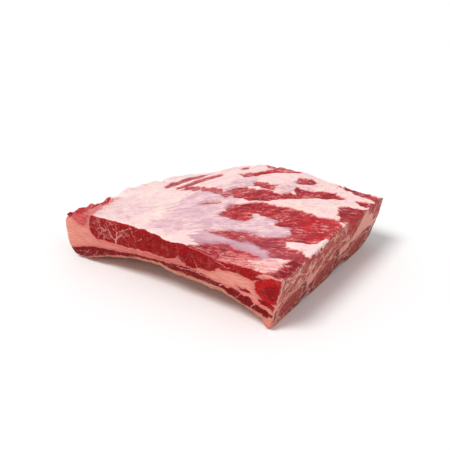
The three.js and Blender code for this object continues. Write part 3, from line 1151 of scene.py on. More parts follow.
    def tones(
        self,
        site: Site,
        face: dict[str, Array],
        wall_tones: Array,
        cut: Array,
        skin: Array,
    ) -> dict[str, Array]:
        """The tones at points, from the patches and from the places along the slab.

        Args:
            site: where the points lie.
            face: the upper face's tones.
            wall_tones: the cut faces' tones, a row for each.
            cut: how far inside a cut face's lean the points lie.
            skin: how deep they lie in the inner skin.

        Returns:
            The tones by name.
        """
        x, y, z = site.points.T
        rim = site.front * (1.0 - ease(site.depth, *self.rim_bright_until))
        nub = hump(x, *self.nub_tone_at) * hump(z, *self.nub_tone_height)
        muscle = ease(self.egg(site.warped), -0.5, 2.0) * (1.0 - site.right)
        left = hump(x, *self.left_bright_at) * ease(z, *self.left_bright_from)
        deep = ease(site.meat - z, -1.0, 1.5)
        rosy = hump(x, *self.rosy_at) * site.front * ease(-cut, 0.0, 0.6)
        extras = (
            ("bright", self.corner_bright * muscle),
            ("bright", self.left_bright * left),
            ("bright", self.rim_bright * (rim * hump(x, *self.rim_bright_at)) * site.below),
            ("dark", self.meat_dark * deep * (1.0 - site.under)),
            ("salmon", rosy * site.below),
            # On the nub the salmon tone also brings in the nub's lightened pink: painted
            # light against the shade near the floor.
            ("salmon", nub * ease(skin, -1.0, 0.5) * (y < self.nub_front)),
        )
        walls = zip(TONES, wall_tones * site.below)
        found = {name: np.maximum(face[name] * site.upper, own) for name, own in walls}
        for name, extra in extras:
            found[name] = np.maximum(found[name], extra)
        return found

    def grain(self, site: Site) -> Array:
        """Places along, across and under the grain: fibres, or the saw's smears."""
        x, y, z = site.points.T
        along = y * self.smear_along + z * self.smear_rise
        across = z * self.smear_along - y * self.smear_rise
        sawn = np.stack([along, across, x], 1)
        side = np.stack([x, z * self.front_grain, y], 1)
        cut = np.where((site.right > 0.5)[:, None], sawn, side)
        return np.where((site.wall > 0.5)[:, None], cut, self.fibres(x, y, z))

    def read(self, points: Array, normals: Array) -> Tissues:
        """Says what shows at points on the slab's outside.

        Args:
            points: rows of x, y and z in millimetres.
            normals: which way the outside faces there.

        Returns:
            The tissues at the points.
        """
        site = self.survey(points, normals)
        x, y, z = points.T
        face = self.read_upper(site)
        cut, vein, wall_tones = self.read_walls(site)
        cut, covered = self.cover(site, cut, face["lean"])
        lean = cut + (face["lean"] - cut) * site.upper
        lobes = self.lobe_gain * (0.5 - self.form.lobe(y)) - self.lobe_fat
        lean = lean + (lobes - lean) * site.under
        skin = self.read_skin(site)
        veins = self.vein_share + self.vein_cluster * hump(x, *self.vein_cluster_at)
        veins = np.where(z < site.meat, self.vein_share, veins) * site.front * site.wall
        return Tissues(
            lean=lean,
            film=face["film"] * site.upper,
            skin=skin,
            cream=np.maximum(site.upper, covered),
            sawn=site.right * (1.0 - covered),
            veins=np.maximum(veins, site.right),
            fibre=self.grain(site),
            bone=self.rib_depth(points),
            upper=site.upper,
            vein=np.where(site.upper > 0.5, OUTSIDE, vein),
            **self.tones(site, face, wall_tones, cut, skin),
        )


# ---- the hull


@dataclass(frozen=True)
class Lump:
    """A small lump that stands off the slab: its middle, its reach and its height."""

    middle: tuple[float, float, float]
    reach: float
    height: float


LUMPS = (
    Lump((-120, -102, 46), 5.0, -2.6),
    Lump((-119, -101, 31), 8.0, 3.0),
    Lump((-117, -101, 19), 8.0, 3.6),
    Lump((-114, -101, 9), 6.0, 2.2),
    Lump((-117, -88, 50), 5.0, 1.6),
    Lump((-116, -74, 49), 4.0, 2.2),
    Lump((-110, -96, 52), 4.0, 1.8),
    Lump((-102, -88, 53), 4.5, 1.4),
    Lump((-117, -49, 45), 4.0, 3.6),
    Lump((-117, -27, 46), 3.4, 4.0),
    Lump((-117, -18, 46), 3.0, 2.4),
    Lump((-117, 5, 42), 4.0, 3.0),
    Lump((-117, 45, 37), 4.0, 3.0),
    Lump((-117, 25, 39), 5.0, 1.8),
    Lump((-22, 98, 59), 5.0, 2.2),
    Lump((-8, 98, 60), 5.0, 1.4),
    Lump((-76, 96, 44), 22.0, -2.2),
    Lump((-25, 98, 60), 24.0, -1.5),
    Lump((114, -100, 7), 6.0, 1.8),
    Lump((107, -102, 2), 3.5, 1.2),
    Lump((119, -99, 3), 3.5, 1.0),
    Lump((122, -62, 14), 4.0, 1.4),
    Lump((106, -104, 14), 4.0, -1.0),
    Lump((100, -104, 38), 9.0, 0.9),
    Lump((-58, -104, 46), 9.0, 0.8),
    Lump((-20, -104, 46), 9.0, 0.9),
    Lump((24, -104, 47), 8.0, 1.0),
)


@dataclass
class Relief:
    """How far the slab's outside stands off its plain form, in millimetres.

    On the upper face fat stands over lean, and lean is fibrous. A cut face is nearly flat.
    """

    broad: Noise = field(default_factory=lambda: Noise(21))
    lumps: Noise = field(default_factory=lambda: Noise(22))
    threads: Noise = field(default_factory=lambda: Noise(23))
    broad_size: float = 52.0
    lump_height: float = 0.45
    lean_sink: float = 1.2
    lean_hollow: float = 0.5
    thread_height: float = 0.40
    thread_lengths: Triple = (9.0, 1.0, 3.0)
    film_height: float = 0.25
    left_rim_at: Span = (-112.0, 14.0)
    left_rim_front: float = -54.0
    cut_lumps: float = 0.70
    cut_grain: float = 0.20
    cut_lean_sink: float = 0.35
    border_groove: float = 0.15
    border_width: float = 0.9
    sawn_lumps: float = 0.30
    sawn_grain: float = 0.14
    bone_groove: float = 0.1
    bone_border: float = 0.7
    bone_step: float = 0.25
    fringe_from: float = 100.0
    fringe_height: float = 0.5
    fringe_rough: float = 1.3
    lip_height: float = 1.6
    lip_at: Span = (84.0, 24.0)
    lip_level: Span = (47.0, 3.0)
    lip_front: float = -98.0

    def upper(self, points: Array, found: Tissues) -> Array:
        """The upper face's relief."""
        x, y, _ = points.T
        red = ease(found.lean, -0.9, 0.5)
        threads = self.threads.rough(found.fibre / np.array(self.thread_lengths), 2.4, 2)
        height = self.broad.at(points, self.broad_size)
        height = height + self.lump_height * self.lumps.rough(points, 13.0, 3)
        sink = self.lean_sink * red + self.lean_hollow * red * ease(found.lean, 0.5, 4.0)
        height = height - sink + self.thread_height * red * threads
        height = height + self.film_height * found.film
        rim = hump(x, *self.left_rim_at) * (y < self.left_rim_front)
        return height + rim * self.lumps.rough(points + 40.0, 6.0, 2)

    def walls(self, points: Array, found: Tissues) -> Array:
        """The relief of the cut faces and the edges."""
        x, y, z = points.T
        lumps = self.lumps.rough(points, 12.0, 3)
        grain = self.lumps.at(points + 9.0, 2.6)
        cut = self.cut_lumps * lumps + self.cut_grain * grain
        cut = cut - self.cut_lean_sink * ease(found.lean, -1.0, 0.6)
        cut = cut - self.border_groove * hump(found.lean, 0.0, self.border_width)
        sawn = self.sawn_lumps * lumps + self.sawn_grain * grain
        sawn = sawn - self.bone_groove * hump(found.bone, 0.0, self.bone_border)
        sawn = sawn + self.bone_step * ease(found.bone, 0.0, 0.8)
        cut = cut + (sawn - cut) * found.sawn
        fringe = self.fringe_rough * self.lumps.rough(points + 4.0, 4.0, 3)
        cut = cut + found.cream * (x > self.fringe_from) * (self.fringe_height + fringe)
        lip = self.lip_height * hump(x, *self.lip_at) * hump(z, *self.lip_level)
        return cut + lip * (y < self.lip_front)

    def height(self, points: Array, found: Tissues) -> Array:
        """The relief at points on the plain form, in millimetres along the normal.

        Args:
            points: rows of x, y and z in millimetres.
            found: the tissues at the points.

        Returns:
            Heights in millimetres.
        """
        total = self.upper(points, found) * found.upper
        total = total + self.walls(points, found) * (1.0 - found.upper)
        for lump in LUMPS:
            gap = np.linalg.norm(points - np.array(lump.middle, float), axis=1)
            total = total + lump.height * hump(gap, 0.0, lump.reach)
        return total


@dataclass(frozen=True)
class Fineness:
    """How fine the hull is: its grid's spacing, and the wall's rows in each layer."""

    spacing: float
    rows: tuple[int, ...]


FINE = Fineness(0.98, (4, 24, 24, 24))


@dataclass
class Hull:
    """The slab's whole outside as one fine grid, which the layers share."""

    form: SlabForm
    anatomy: Anatomy
    relief: Relief
    fineness: Fineness = FINE
    edge_steps: tuple[float, ...] = (0.0, 0.25, 0.6, 1.1, 1.7, 2.4)
    inner_spacing: float = 9.0
    top_round: tuple[float, ...] = (2.0, 1.4, 4.0, 3.4)
    bottom_round: float = 1.8
    bottom_drop: float = 0.6
    skin_share: float = 0.4

    def __post_init__(self) -> None:
        """Makes the grid's points, on the plain form and with their relief."""
        self.u = self._lines(self.form.length)
        self.v = self._lines(self.form.width)
        self._make_rim()
        self._make_points()
        self._make_caps()

    def _lines(self, span: float) -> Array:
        """Shares of a side where the grid's lines run, closer together at both ends."""
        edge = np.array(self.edge_steps)
        count = max(2, round((span - 2 * edge[-1]) / self.fineness.spacing))
        middle = np.linspace(edge[-1], span - edge[-1], count + 1)[1:-1]
        return np.concatenate([edge, middle, span - edge[::-1]]) / span

    def _make_rim(self) -> None:
        """Walks the grid's rim: front, right, back and left."""
        nu, nv = len(self.u), len(self.v)
        grid = np.arange(nu * nv).reshape(nu, nv)
        walk = [grid[:-1, 0], grid[-1, :-1], grid[:0:-1, -1], grid[0, :0:-1]]
        self.rim = np.concatenate(walk)
        self.rim_u = self.u[self.rim // nv]
        self.rim_v = self.v[self.rim % nv]
        inner = np.ones(nu * nv, bool)
        inner[self.rim] = False
        self.grid_inner = np.flatnonzero(inner)
        self.grid_u = np.repeat(self.u, nv)
        self.grid_v = np.tile(self.v, nu)
        quads = np.stack(
            [grid[:-1, :-1], grid[1:, :-1], grid[1:, 1:], grid[:-1, 1:]], -1
        )
        self.grid_quads = quads.reshape(-1, 4)

    def _rounding(self, u: Array, v: Array, radii: tuple[float, ...]) -> Array:
        """How far the rounded rim lowers a face at each plan point."""
        sides = ((v, self.form.width), (1 - u, self.form.length),
                 (1 - v, self.form.width), (u, self.form.length))
        drop = np.zeros(len(u))
        for (share, span), radius in zip(sides, radii):
            left = np.clip(1.0 - share * span / radius, 0.0, 1.0)
            drop = np.maximum(drop, radius * (1.0 - np.sqrt(1.0 - left * left)))
        return drop

    def _make_points(self) -> None:
        """Works out the walls, the upper face and the underside."""
        form = self.form
        u, v = self.rim_u, self.rim_v
        heights = [form.settle(height, u, v)[:, 2] for height in form.borders]
        heights[0] = heights[0] + np.minimum(self.bottom_round, self.skin_share * form.skin)
        heights[-1] = heights[-1] - self._rounding(u, v, self.top_round)
        rows = []
        for low, high, count in zip(heights, heights[1:], self.fineness.rows):
            steps = np.linspace(0.0, 1.0, count + 1)[:-1]
            rows += [form.place(u, v, low + (high - low) * step) for step in steps]
        rows.append(form.place(u, v, heights[-1]))
        self.row_count = len(rows)
        self.layer_rows = np.cumsum((0,) + self.fineness.rows)
        wall = np.concatenate(rows)
        gu, gv = self.grid_u[self.grid_inner], self.grid_v[self.grid_inner]
        upper = form.settle(form.top, gu, gv)
        upper[:, 2] -= self._rounding(gu, gv, self.top_round)
        under = form.settle(form.bottom, gu, gv)
        radii = (self.bottom_round,) * 4
        under[:, 2] += self._rounding(gu, gv, radii) * self.bottom_drop
        self.plain = np.concatenate([wall, upper, under])
        self.first_upper = len(wall)
        self.first_under = len(wall) + len(upper)
        self._make_faces()
        normals = self._normals()
        self.found = self.anatomy.read(self.plain, normals)
        relief = self.relief.height(self.plain, self.found)
        self.points = self.plain + normals * relief[:, None]

    def _grid_index(self, row: int, first: int) -> Array:
        """The hull's index of each grid point of a face whose rim is a wall row."""
        index = np.zeros(len(self.grid_u), int)
        index[self.grid_inner] = first + np.arange(len(self.grid_inner))
        index[self.rim] = row * len(self.rim) + np.arange(len(self.rim))
        return index

    def _make_faces(self) -> None:
        """Makes the quads of the walls, the upper face and the underside."""
        upper = self._grid_index(self.row_count - 1, self.first_upper)
        under = self._grid_index(0, self.first_under)
        self.upper_quads = upper[self.grid_quads]
        self.under_quads = under[self.grid_quads][:, ::-1]
        self.wall_quads = [self._wall(row) for row in range(self.row_count - 1)]

    def _wall(self, row: int) -> Array:
        """The quads between one wall row and the next."""
        count = len(self.rim)
        here = np.arange(count)
        after = (here + 1) % count
        low, high = row * count, (row + 1) * count
        return np.stack([low + here, low + after, high + after, high + here], 1)

    def _normals(self) -> Array:
        """Smooth outward normals of the plain hull."""
        quads = np.concatenate([*self.wall_quads, self.upper_quads, self.under_quads])
        a, b, c, d = (self.plain[quads[:, i]] for i in range(4))
        facing = np.cross(c - a, d - b)
        total = np.zeros_like(self.plain)
        for i in range(4):
            for axis in range(3):
                total[:, axis] += np.bincount(
                    quads[:, i], facing[:, axis], minlength=len(total)
                )
        length = np.linalg.norm(total, axis=1, keepdims=True)
        return total / np.maximum(length, 1e-9)

    def _make_caps(self) -> None:
        """Triangulates the plan coarsely, for the faces hidden between two layers."""
        form = self.form
        span = np.array([form.length, form.width])
        rim = np.stack([self.rim_u, self.rim_v], 1) * span
        counts = (span / self.inner_spacing).astype(int)
        steps = [np.linspace(0, side, n + 1)[1:-1] for side, n in zip(span, counts)]
        inside = np.array([(x, y) for x in steps[0] for y in steps[1]])
        points = [Vector(p) for p in np.concatenate([rim, inside])]
        loop = [(i, (i + 1) % len(rim)) for i in range(len(rim))]
        found = delaunay_2d_cdt(points, loop, [], 1, 1e-6)
        if len(found[0]) != len(points):
            raise ValueError("the hidden faces' plan gained or lost points")
        self.cap_inside = inside / span
        source = np.array([origin[0] for origin in found[3]])
        faces = source[np.array([list(f) for f in found[2]])]
        plan = np.concatenate([rim, inside])
        a, b, c = (plan[faces[:, i]] for i in range(3))
        turn = (b[:, 0] - a[:, 0]) * (c[:, 1] - a[:, 1])
        turn -= (b[:, 1] - a[:, 1]) * (c[:, 0] - a[:, 0])
        faces[turn < 0] = faces[turn < 0][:, ::-1]
        self.cap_faces = faces

    def layer(self, index: Layer) -> tuple[Array, list[Array]]:
        """One layer as a closed mesh.

        Args:
            index: which layer.

        Returns:
            The points in millimetres, and the arrays of faces.
        """
        count = len(self.rim)
        first, last = self.layer_rows[index], self.layer_rows[index + 1]
        rows = self.points[first * count: (last + 1) * count]
        shift = first * count
        faces = [quads - shift for quads in self.wall_quads[first:last]]
        parts = [rows]
        size = len(rows)
        low, high = self.form.borders[index: index + 2]
        for row, height, up in ((first, low, False), (last, high, True)):
            if row == 0 or row == self.row_count - 1:
                start = self.first_under if row == 0 else self.first_upper
                quads = self.under_quads if row == 0 else self.upper_quads
                inside = self.points[start: start + len(self.grid_inner)]
                lookup = np.arange(len(self.points)) - shift
                lookup[start: start + len(inside)] = size + np.arange(len(inside))
                faces.append(lookup[quads])
            else:
                inside = self.form.settle(height, *self.cap_inside.T)
                ring = (row - first) * count + np.arange(count)
                lookup = np.concatenate([ring, size + np.arange(len(inside))])
                cap = lookup[self.cap_faces]
                faces.append(cap if up else cap[:, ::-1])
            parts.append(inside)
            size += len(inside)
        return np.concatenate(parts), faces


# ---- materials


class Graph:
    """Short ways of adding nodes to one material."""

    def __init__(self, name: str) -> None:
        """Starts an empty material of that name."""
        self.material = bpy.data.materials.new(name)
        self.material.use_nodes = True
        self.tree = self.material.node_tree
        self.tree.nodes.clear()

    def node(self, kind: str, **settings: Any) -> bpy.types.Node:
        """Adds a node and sets its properties."""
        made = self.tree.nodes.new(kind)
        for key, value in settings.items():
            setattr(made, key, value)
        return made

    def feed(self, socket: Socket, value: Value) -> None:
        """Links a socket to another, or sets its own value."""
        if isinstance(value, Socket):
            self.tree.links.new(value, socket)
        elif isinstance(value, tuple) and len(value) == 3 and socket.type == "RGBA":
            socket.default_value = (*value, 1.0)
        else:
            socket.default_value = value

    def finish(self, shader: bpy.types.Node) -> None:
        """Joins a shader to the material's surface."""
        out = self.node("ShaderNodeOutputMaterial")
        self.feed(out.inputs["Surface"], shader.outputs[0])

    def attribute(self, name: str, part: str = "Fac") -> Socket:
        """Reads an attribute of the mesh."""
        return self.node("ShaderNodeAttribute", attribute_name=name).outputs[part]

    def split(self, vector: Socket) -> list[Socket]:
        """The three parts of a vector."""
        made = self.node("ShaderNodeSeparateXYZ")
        self.feed(made.inputs[0], vector)
        return list(made.outputs)

    def math(self, operation: str, a: Value, b: Value = 0.0) -> Socket:
        """One sum on one or two numbers."""
        made = self.node("ShaderNodeMath", operation=operation)
        for socket, value in zip(made.inputs, (a, b)):
            self.feed(socket, value)
        return made.outputs[0]

    def stretch(self, vector: Socket, scale: Triple) -> Socket:
        """A vector times a scale for each axis."""
        made = self.node("ShaderNodeVectorMath", operation="MULTIPLY")
        self.feed(made.inputs[0], vector)
        made.inputs[1].default_value = scale
        return made.outputs[0]

    def noise(
        self,
        vector: Socket,
        scale: float = 1.0,
        detail: float = 3.0,
        rough: float = 0.55,
        bend: float = 0.0,
    ) -> Socket:
        """Smooth noise from 0 to 1.

        Args:
            vector: where it is read.
            scale: lumps for each unit of the vector.
            detail: finer layers on it.
            rough: the strength of the finer layers.
            bend: how far it is warped by itself.

        Returns:
            The noise's value.
        """
        made = self.node("ShaderNodeTexNoise", noise_dimensions="3D")
        self.feed(made.inputs["Vector"], vector)
        made.inputs["Scale"].default_value = scale
        made.inputs["Detail"].default_value = detail
        made.inputs["Roughness"].default_value = rough
        made.inputs["Distortion"].default_value = bend
        return made.outputs["Fac"]

    def cells(self, vector: Socket, scale: float) -> Socket:
        """The distance to the borders of a cell pattern."""
        made = self.node("ShaderNodeTexVoronoi", feature="DISTANCE_TO_EDGE")
        self.feed(made.inputs["Vector"], vector)
        made.inputs["Scale"].default_value = scale
        return made.outputs["Distance"]

    def ramp(
        self, value: Value, low: float, high: float, start: float = 0.0, end: float = 1.0
    ) -> Socket:
        """A number carried smoothly from one range to another, and kept in it."""
        made = self.node("ShaderNodeMapRange", interpolation_type="SMOOTHSTEP")
        for socket, number in zip(made.inputs, (value, low, high, start, end)):
            self.feed(socket, number)
        return made.outputs[0]

    def mix(self, share: Value, first: Value, second: Value) -> Socket:
        """Two colours mixed by a share."""
        made = self.node("ShaderNodeMix", data_type="RGBA")
        self.feed(made.inputs[0], share)
        self.feed(made.inputs[6], first)
        self.feed(made.inputs[7], second)
        return made.outputs[2]

    def add(self, *values: Value) -> Socket:
        """The sum of several numbers."""
        total = values[0]
        for value in values[1:]:
            total = self.math("ADD", total, value)
        return total

    def minus(self, first: Value, second: Value) -> Socket:
        """The first number less the second."""
        return self.math("SUBTRACT", first, second)

    def times(self, first: Value, second: Value) -> Socket:
        """The product of two numbers."""
        return self.math("MULTIPLY", first, second)

    def sway(self, noise: Socket, reach: float) -> Socket:
        """A noise from 0 to 1, carried to both sides of 0, times a reach."""
        return self.times(self.minus(noise, 0.5), reach)

    def blend(self, *parts: tuple[Socket, float]) -> Socket:
        """The sum of several noises, each times its share."""
        return self.add(*(self.times(noise, share) for noise, share in parts))

    def contour(self, value: Socket, level: float, width: float) -> Socket:
        """A thin line where a noise crosses a level."""
        gap = self.math("ABSOLUTE", self.minus(value, level))
        return self.ramp(gap, width, width * 0.3)

    def bend(self, vector: Socket, scale: float, reach: float) -> Socket:
        """A vector warped by noise.

        Args:
            vector: what is warped.
            scale: the noise's lumps for each unit of the vector.
            reach: how far it is pushed at most.

        Returns:
            The warped vector.
        """
        wobble = self.node("ShaderNodeTexNoise", noise_dimensions="3D")
        self.feed(wobble.inputs["Vector"], vector)
        wobble.inputs["Scale"].default_value = scale
        made = self.node("ShaderNodeVectorMath", operation="ADD")
        self.feed(made.inputs[0], vector)
        push = self.stretch(wobble.outputs["Color"], (reach, reach, reach))
        self.feed(made.inputs[1], push)
        return made.outputs[0]


@dataclass(frozen=True)
class Palette:
    """The tissues' colours, linear. Some carry painted light: the crease colour is painted
    shade, the nub's pink is lightened as painted light, the pale fleck colour is partly
    painted glints, and the paler film and the upper face's lean are partly painted sheen.
    """

    lean: Colour = (0.3, 0.005, 0.006)
    lean_deep: Colour = (0.15, 0.004, 0.005)
    lean_light: Colour = (0.45, 0.015, 0.015)
    top_lean: Colour = (0.46, 0.04, 0.048)
    top_lean_deep: Colour = (0.22, 0.014, 0.024)
    top_lean_light: Colour = (0.68, 0.15, 0.15)
    bright: Colour = (0.58, 0.012, 0.018)
    maroon: Colour = (0.2, 0.012, 0.022)
    sheath: Colour = (0.77, 0.205, 0.192)
    veil: Colour = (0.52, 0.17, 0.21)
    dusk: Colour = (0.4, 0.15, 0.2)
    deep: Colour = (0.13, 0.006, 0.008)
    fleck: Colour = (0.82, 0.44, 0.42)
    cream: Colour = (0.92, 0.67, 0.665)
    ivory: Colour = (0.93, 0.74, 0.66)
    rosy: Colour = (0.56, 0.135, 0.105)
    vein: Colour = (0.76, 0.3, 0.27)
    blush: Colour = (0.84, 0.44, 0.43)
    crease_shade: Colour = (0.62, 0.33, 0.36)
    seam: Colour = (0.72, 0.245, 0.19)
    seam_light: Colour = (0.8, 0.345, 0.275)
    gristle: Colour = (0.82, 0.43, 0.35)
    beige: Colour = (0.74, 0.33, 0.26)
    film: Colour = (0.65, 0.395, 0.465)
    film_sheen: Colour = (0.78, 0.49, 0.54)
    smear: Colour = (0.21, 0.011, 0.01)
    smear_light: Colour = (0.56, 0.085, 0.068)
    bone: Colour = (0.25, 0.023, 0.02)
    bone_light: Colour = (0.56, 0.115, 0.095)
    skin: Colour = (0.6, 0.315, 0.2)
    skin_pink: Colour = (0.6, 0.17, 0.13)
    # Painted light: the nub's pink is lightened, to make up for the shade it lies in near
    # the floor.
    nub: Colour = (0.9, 0.26, 0.205)


@dataclass
class Fields:
    """What every tissue's colour is worked out from, as sockets."""

    place: Socket
    fibre: Socket
    lean: Socket
    film: Socket
    skin: Socket
    bone: Socket
    salmon: Socket
    vein: Socket
    veil: Socket
    bright: Socket
    dark: Socket
    cream: Socket
    sawn: Socket
    veins: Socket
    clusters: Socket
    patchy: Socket
    blots: Socket
    grain: Socket
    fine: Socket
    threads: Socket
    flecks: Socket


@dataclass(frozen=True)
class FleshFinish:
    """Moist flesh: lean, fat, membranes and sawn bone, each where its attribute says."""

    name: str
    palette: Palette = Palette()
    roughness: float = 0.42
    moisture: float = 0.12
    specular: float = 0.045
    subsurface: float = 0.05
    subsurface_radius: Triple = (1.0, 0.35, 0.25)
    subsurface_scale: float = 0.0025
    bump: float = 0.55
    bump_reach: float = 0.0012
    thread_scale: Triple = (0.07, 0.42, 0.3)
    fleck_scale: Triple = (0.15, 0.70, 0.5)
    streak_scale: Triple = (0.022, 0.16, 0.2)
    smear_scale: Triple = (0.03, 0.15, 0.05)
    sheen_scale: Triple = (0.03, 0.14, 0.2)
    bone_from: Span = (100.0, 104.0)

    def fields(self, g: Graph) -> Fields:
        """Reads the mesh's attributes and lays out the noises."""
        coordinates = g.node("ShaderNodeTexCoord").outputs["Object"]
        place = g.stretch(coordinates, (1 / MM, 1 / MM, 1 / MM))
        fibre = g.attribute("fibre", "Vector")
        veil, bright, dark = g.split(g.attribute("tone", "Vector"))
        cream, sawn, veins = g.split(g.attribute("zone", "Vector"))
        return Fields(
            place=place,
            fibre=fibre,
            **{name: g.attribute(name) for name in NUMBERS},
            veil=veil,
            bright=bright,
            dark=dark,
            cream=cream,
            sawn=sawn,
            veins=veins,
            clusters=g.noise(place, 0.055, 2.0),
            patchy=g.noise(place, 0.11, 3.0),
            blots=g.noise(place, 0.30, 3.0, 0.6, 0.4),
            grain=g.noise(place, 0.80, 3.0, 0.6),
            fine=g.noise(place, 2.2, 2.0),
            threads=g.noise(g.stretch(fibre, self.thread_scale), 1.0, 5.0, 0.62, 0.5),
            flecks=g.noise(g.stretch(fibre, self.fleck_scale), 1.0, 3.0, 0.6, 0.7),
        )

    def veins(self, g: Graph, f: Fields) -> Socket:
        """Veins of fat: the borders of bent cells, broken up and tapering."""
        bent = g.bend(f.place, 0.12, 12.0)
        edge, small = g.cells(bent, 0.105), g.cells(bent, 0.26)
        width = g.ramp(f.patchy, 0.42, 0.66, 0.0, 0.085)
        large = g.ramp(g.minus(width, edge), -0.03, 0.03)
        thin = g.ramp(g.minus(g.times(width, 0.8), small), -0.03, 0.04)
        vein = g.math("MAXIMUM", large, g.times(thin, 0.6))
        drawn = g.ramp(g.add(f.vein, g.sway(f.grain, 1.6)), -0.35, 0.35)
        return g.math("MAXIMUM", g.times(vein, f.veins), g.times(drawn, 0.95))

    def lean_colour(self, g: Graph, f: Fields) -> Socket:
        """The lean, with its grain, its streaks and the veils over it."""
        p = self.palette
        tone = g.blend((f.threads, 0.45), (f.grain, 0.25), (f.blots, 0.3))
        cut_tone = g.blend((f.grain, 0.6), (f.fine, 0.2), (f.blots, 0.2))
        top = g.mix(g.ramp(tone, 0.40, 0.49), p.top_lean_deep, p.top_lean)
        top = g.mix(g.ramp(tone, 0.51, 0.62), top, p.top_lean_light)
        top = g.mix(g.ramp(f.clusters, 0.50, 0.38, 0.0, 0.5), top, p.maroon)
        cut = g.mix(g.ramp(cut_tone, 0.41, 0.51), p.lean_deep, p.lean)
        cut = g.mix(g.ramp(cut_tone, 0.52, 0.62), cut, p.lean_light)
        dots = g.times(g.ramp(f.grain, 0.60, 0.70), g.ramp(f.veins, 0.1, 0.5, 0.05, 0.55))
        cut = g.mix(dots, cut, p.vein)
        # The upper face's lean is pinker than the cut faces': partly the membrane on it,
        # partly painted sheen.
        colour = g.mix(f.cream, cut, top)
        glow = g.times(f.bright, g.ramp(f.threads, 0.38, 0.54, 0.35, 1.0))
        colour = g.mix(glow, colour, p.bright)
        dark = g.mix(f.cream, p.deep, p.maroon)
        darkness = g.times(f.dark, g.ramp(f.blots, 0.35, 0.6, 0.9, 0.5))
        colour = g.mix(darkness, colour, dark)
        mottle = g.blend((f.threads, 0.6), (f.blots, 0.4))
        sheath = g.times(f.salmon, g.ramp(mottle, 0.40, 0.54, 0.25, 1.0))
        light = g.mix(g.ramp(f.flecks, 0.46, 0.62, 0.0, 0.8), p.sheath, p.blush)
        colour = g.mix(sheath, colour, light)
        veil = g.times(f.veil, g.ramp(f.threads, 0.38, 0.58, 0.45, 1.0))
        colour = g.mix(veil, colour, p.veil)
        # Pale flecks on the upper face's lean: partly thin fat left on it, partly painted
        # glints of wet light.
        crowd = g.add(f.flecks, g.sway(f.clusters, 0.5))
        fleck = g.times(g.ramp(crowd, 0.57, 0.68), g.times(f.cream, 0.72))
        colour = g.mix(fleck, colour, p.fleck)
        return g.mix(g.times(self.veins(g, f), 0.85), colour, p.vein)

    def fat_colour(self, g: Graph, f: Fields) -> Socket:
        """The fat: cream on the upper face, salmon in the seam, beige where it is sawn."""
        p = self.palette
        streaks = g.noise(g.stretch(f.fibre, self.streak_scale), bend=0.4)
        top = g.mix(g.ramp(f.clusters, 0.46, 0.62, 0.0, 0.8), p.cream, p.ivory)
        top = g.mix(g.ramp(f.patchy, 0.50, 0.74, 0.0, 0.4), top, p.blush)
        top = g.mix(g.ramp(streaks, 0.52, 0.74, 0.0, 0.45), top, p.blush)
        blush = g.times(f.salmon, g.ramp(f.threads, 0.40, 0.58, 0.3, 1.0))
        sheath = g.times(f.salmon, g.ramp(f.flecks, 0.48, 0.60, 0.0, 0.8))
        top = g.mix(sheath, g.mix(blush, top, p.blush), p.sheath)
        pink = g.times(g.contour(streaks, 0.54, 0.012), g.ramp(f.blots, 0.46, 0.58))
        top = g.mix(g.times(pink, 0.85), top, p.seam)
        # Painted shade: thin grey-lilac lines along the streaks stand for the shade in the
        # fat's creases.
        crease_shade = g.times(g.contour(streaks, 0.45, 0.016), g.ramp(f.patchy, 0.4, 0.56))
        top = g.mix(g.times(crease_shade, 0.6), top, p.crease_shade)
        speck = g.times(g.ramp(f.fine, 0.70, 0.76), g.ramp(f.clusters, 0.5, 0.6))
        top = g.mix(g.times(speck, 0.6), top, p.top_lean)
        seam = g.mix(g.ramp(f.threads, 0.40, 0.62), p.seam, p.seam_light)
        rosy = g.times(f.salmon, g.ramp(f.patchy, 0.38, 0.6, 0.7, 1.0))
        rosy = g.add(rosy, g.ramp(f.lean, -3.2, -0.4, 0.0, 0.45))
        seam = g.mix(g.math("MINIMUM", rosy, 1.0), seam, p.rosy)
        streak = g.times(g.contour(streaks, 0.50, 0.014), g.ramp(f.blots, 0.4, 0.55))
        seam = g.mix(g.times(streak, 0.5), seam, p.rosy)
        seam = g.mix(g.times(f.sawn, 0.9), seam, p.beige)
        return g.mix(f.cream, seam, top)

    def sawn_colour(self, g: Graph, f: Fields) -> Socket:
        """The sawn end's lean: smeared brown, with pale lines along the grain."""
        p = self.palette
        tone = g.blend((f.threads, 0.5), (f.grain, 0.2), (f.blots, 0.3))
        smear = g.mix(g.ramp(tone, 0.42, 0.58), p.smear, p.smear_light)
        lines = g.noise(g.stretch(f.fibre, self.smear_scale), bend=0.6)
        line, second = (g.contour(lines, level, 0.022) for level in (0.50, 0.60))
        line = g.math("MAXIMUM", line, second)
        line = g.times(line, g.ramp(f.patchy, 0.38, 0.58, 0.25, 0.95))
        smear = g.mix(g.ramp(f.flecks, 0.56, 0.66, 0.0, 0.35), smear, p.beige)
        smear = g.mix(line, smear, p.gristle)
        smear = g.mix(g.times(f.dark, g.ramp(f.blots, 0.4, 0.6, 0.85, 0.45)), smear, p.deep)
        block = g.mix(g.ramp(tone, 0.42, 0.60), p.lean, p.lean_light)
        smear = g.mix(g.times(f.bright, 0.95), smear, block)
        vein = g.times(self.veins(g, f), g.ramp(f.bright, 0.2, 0.8, 0.8, 0.25))
        return g.mix(vein, smear, p.gristle)

    def bone_colour(self, g: Graph, f: Fields) -> Socket:
        """Sawn bone: red and granular, with a pale rim."""
        p = self.palette
        sponge = g.noise(f.place, 0.6, 4.0, 0.7)
        marrow = g.mix(g.ramp(sponge, 0.42, 0.62), p.bone, p.bone_light)
        return g.mix(g.ramp(f.bone, 2.2, 0.8, 0.0, 0.6), marrow, p.beige)

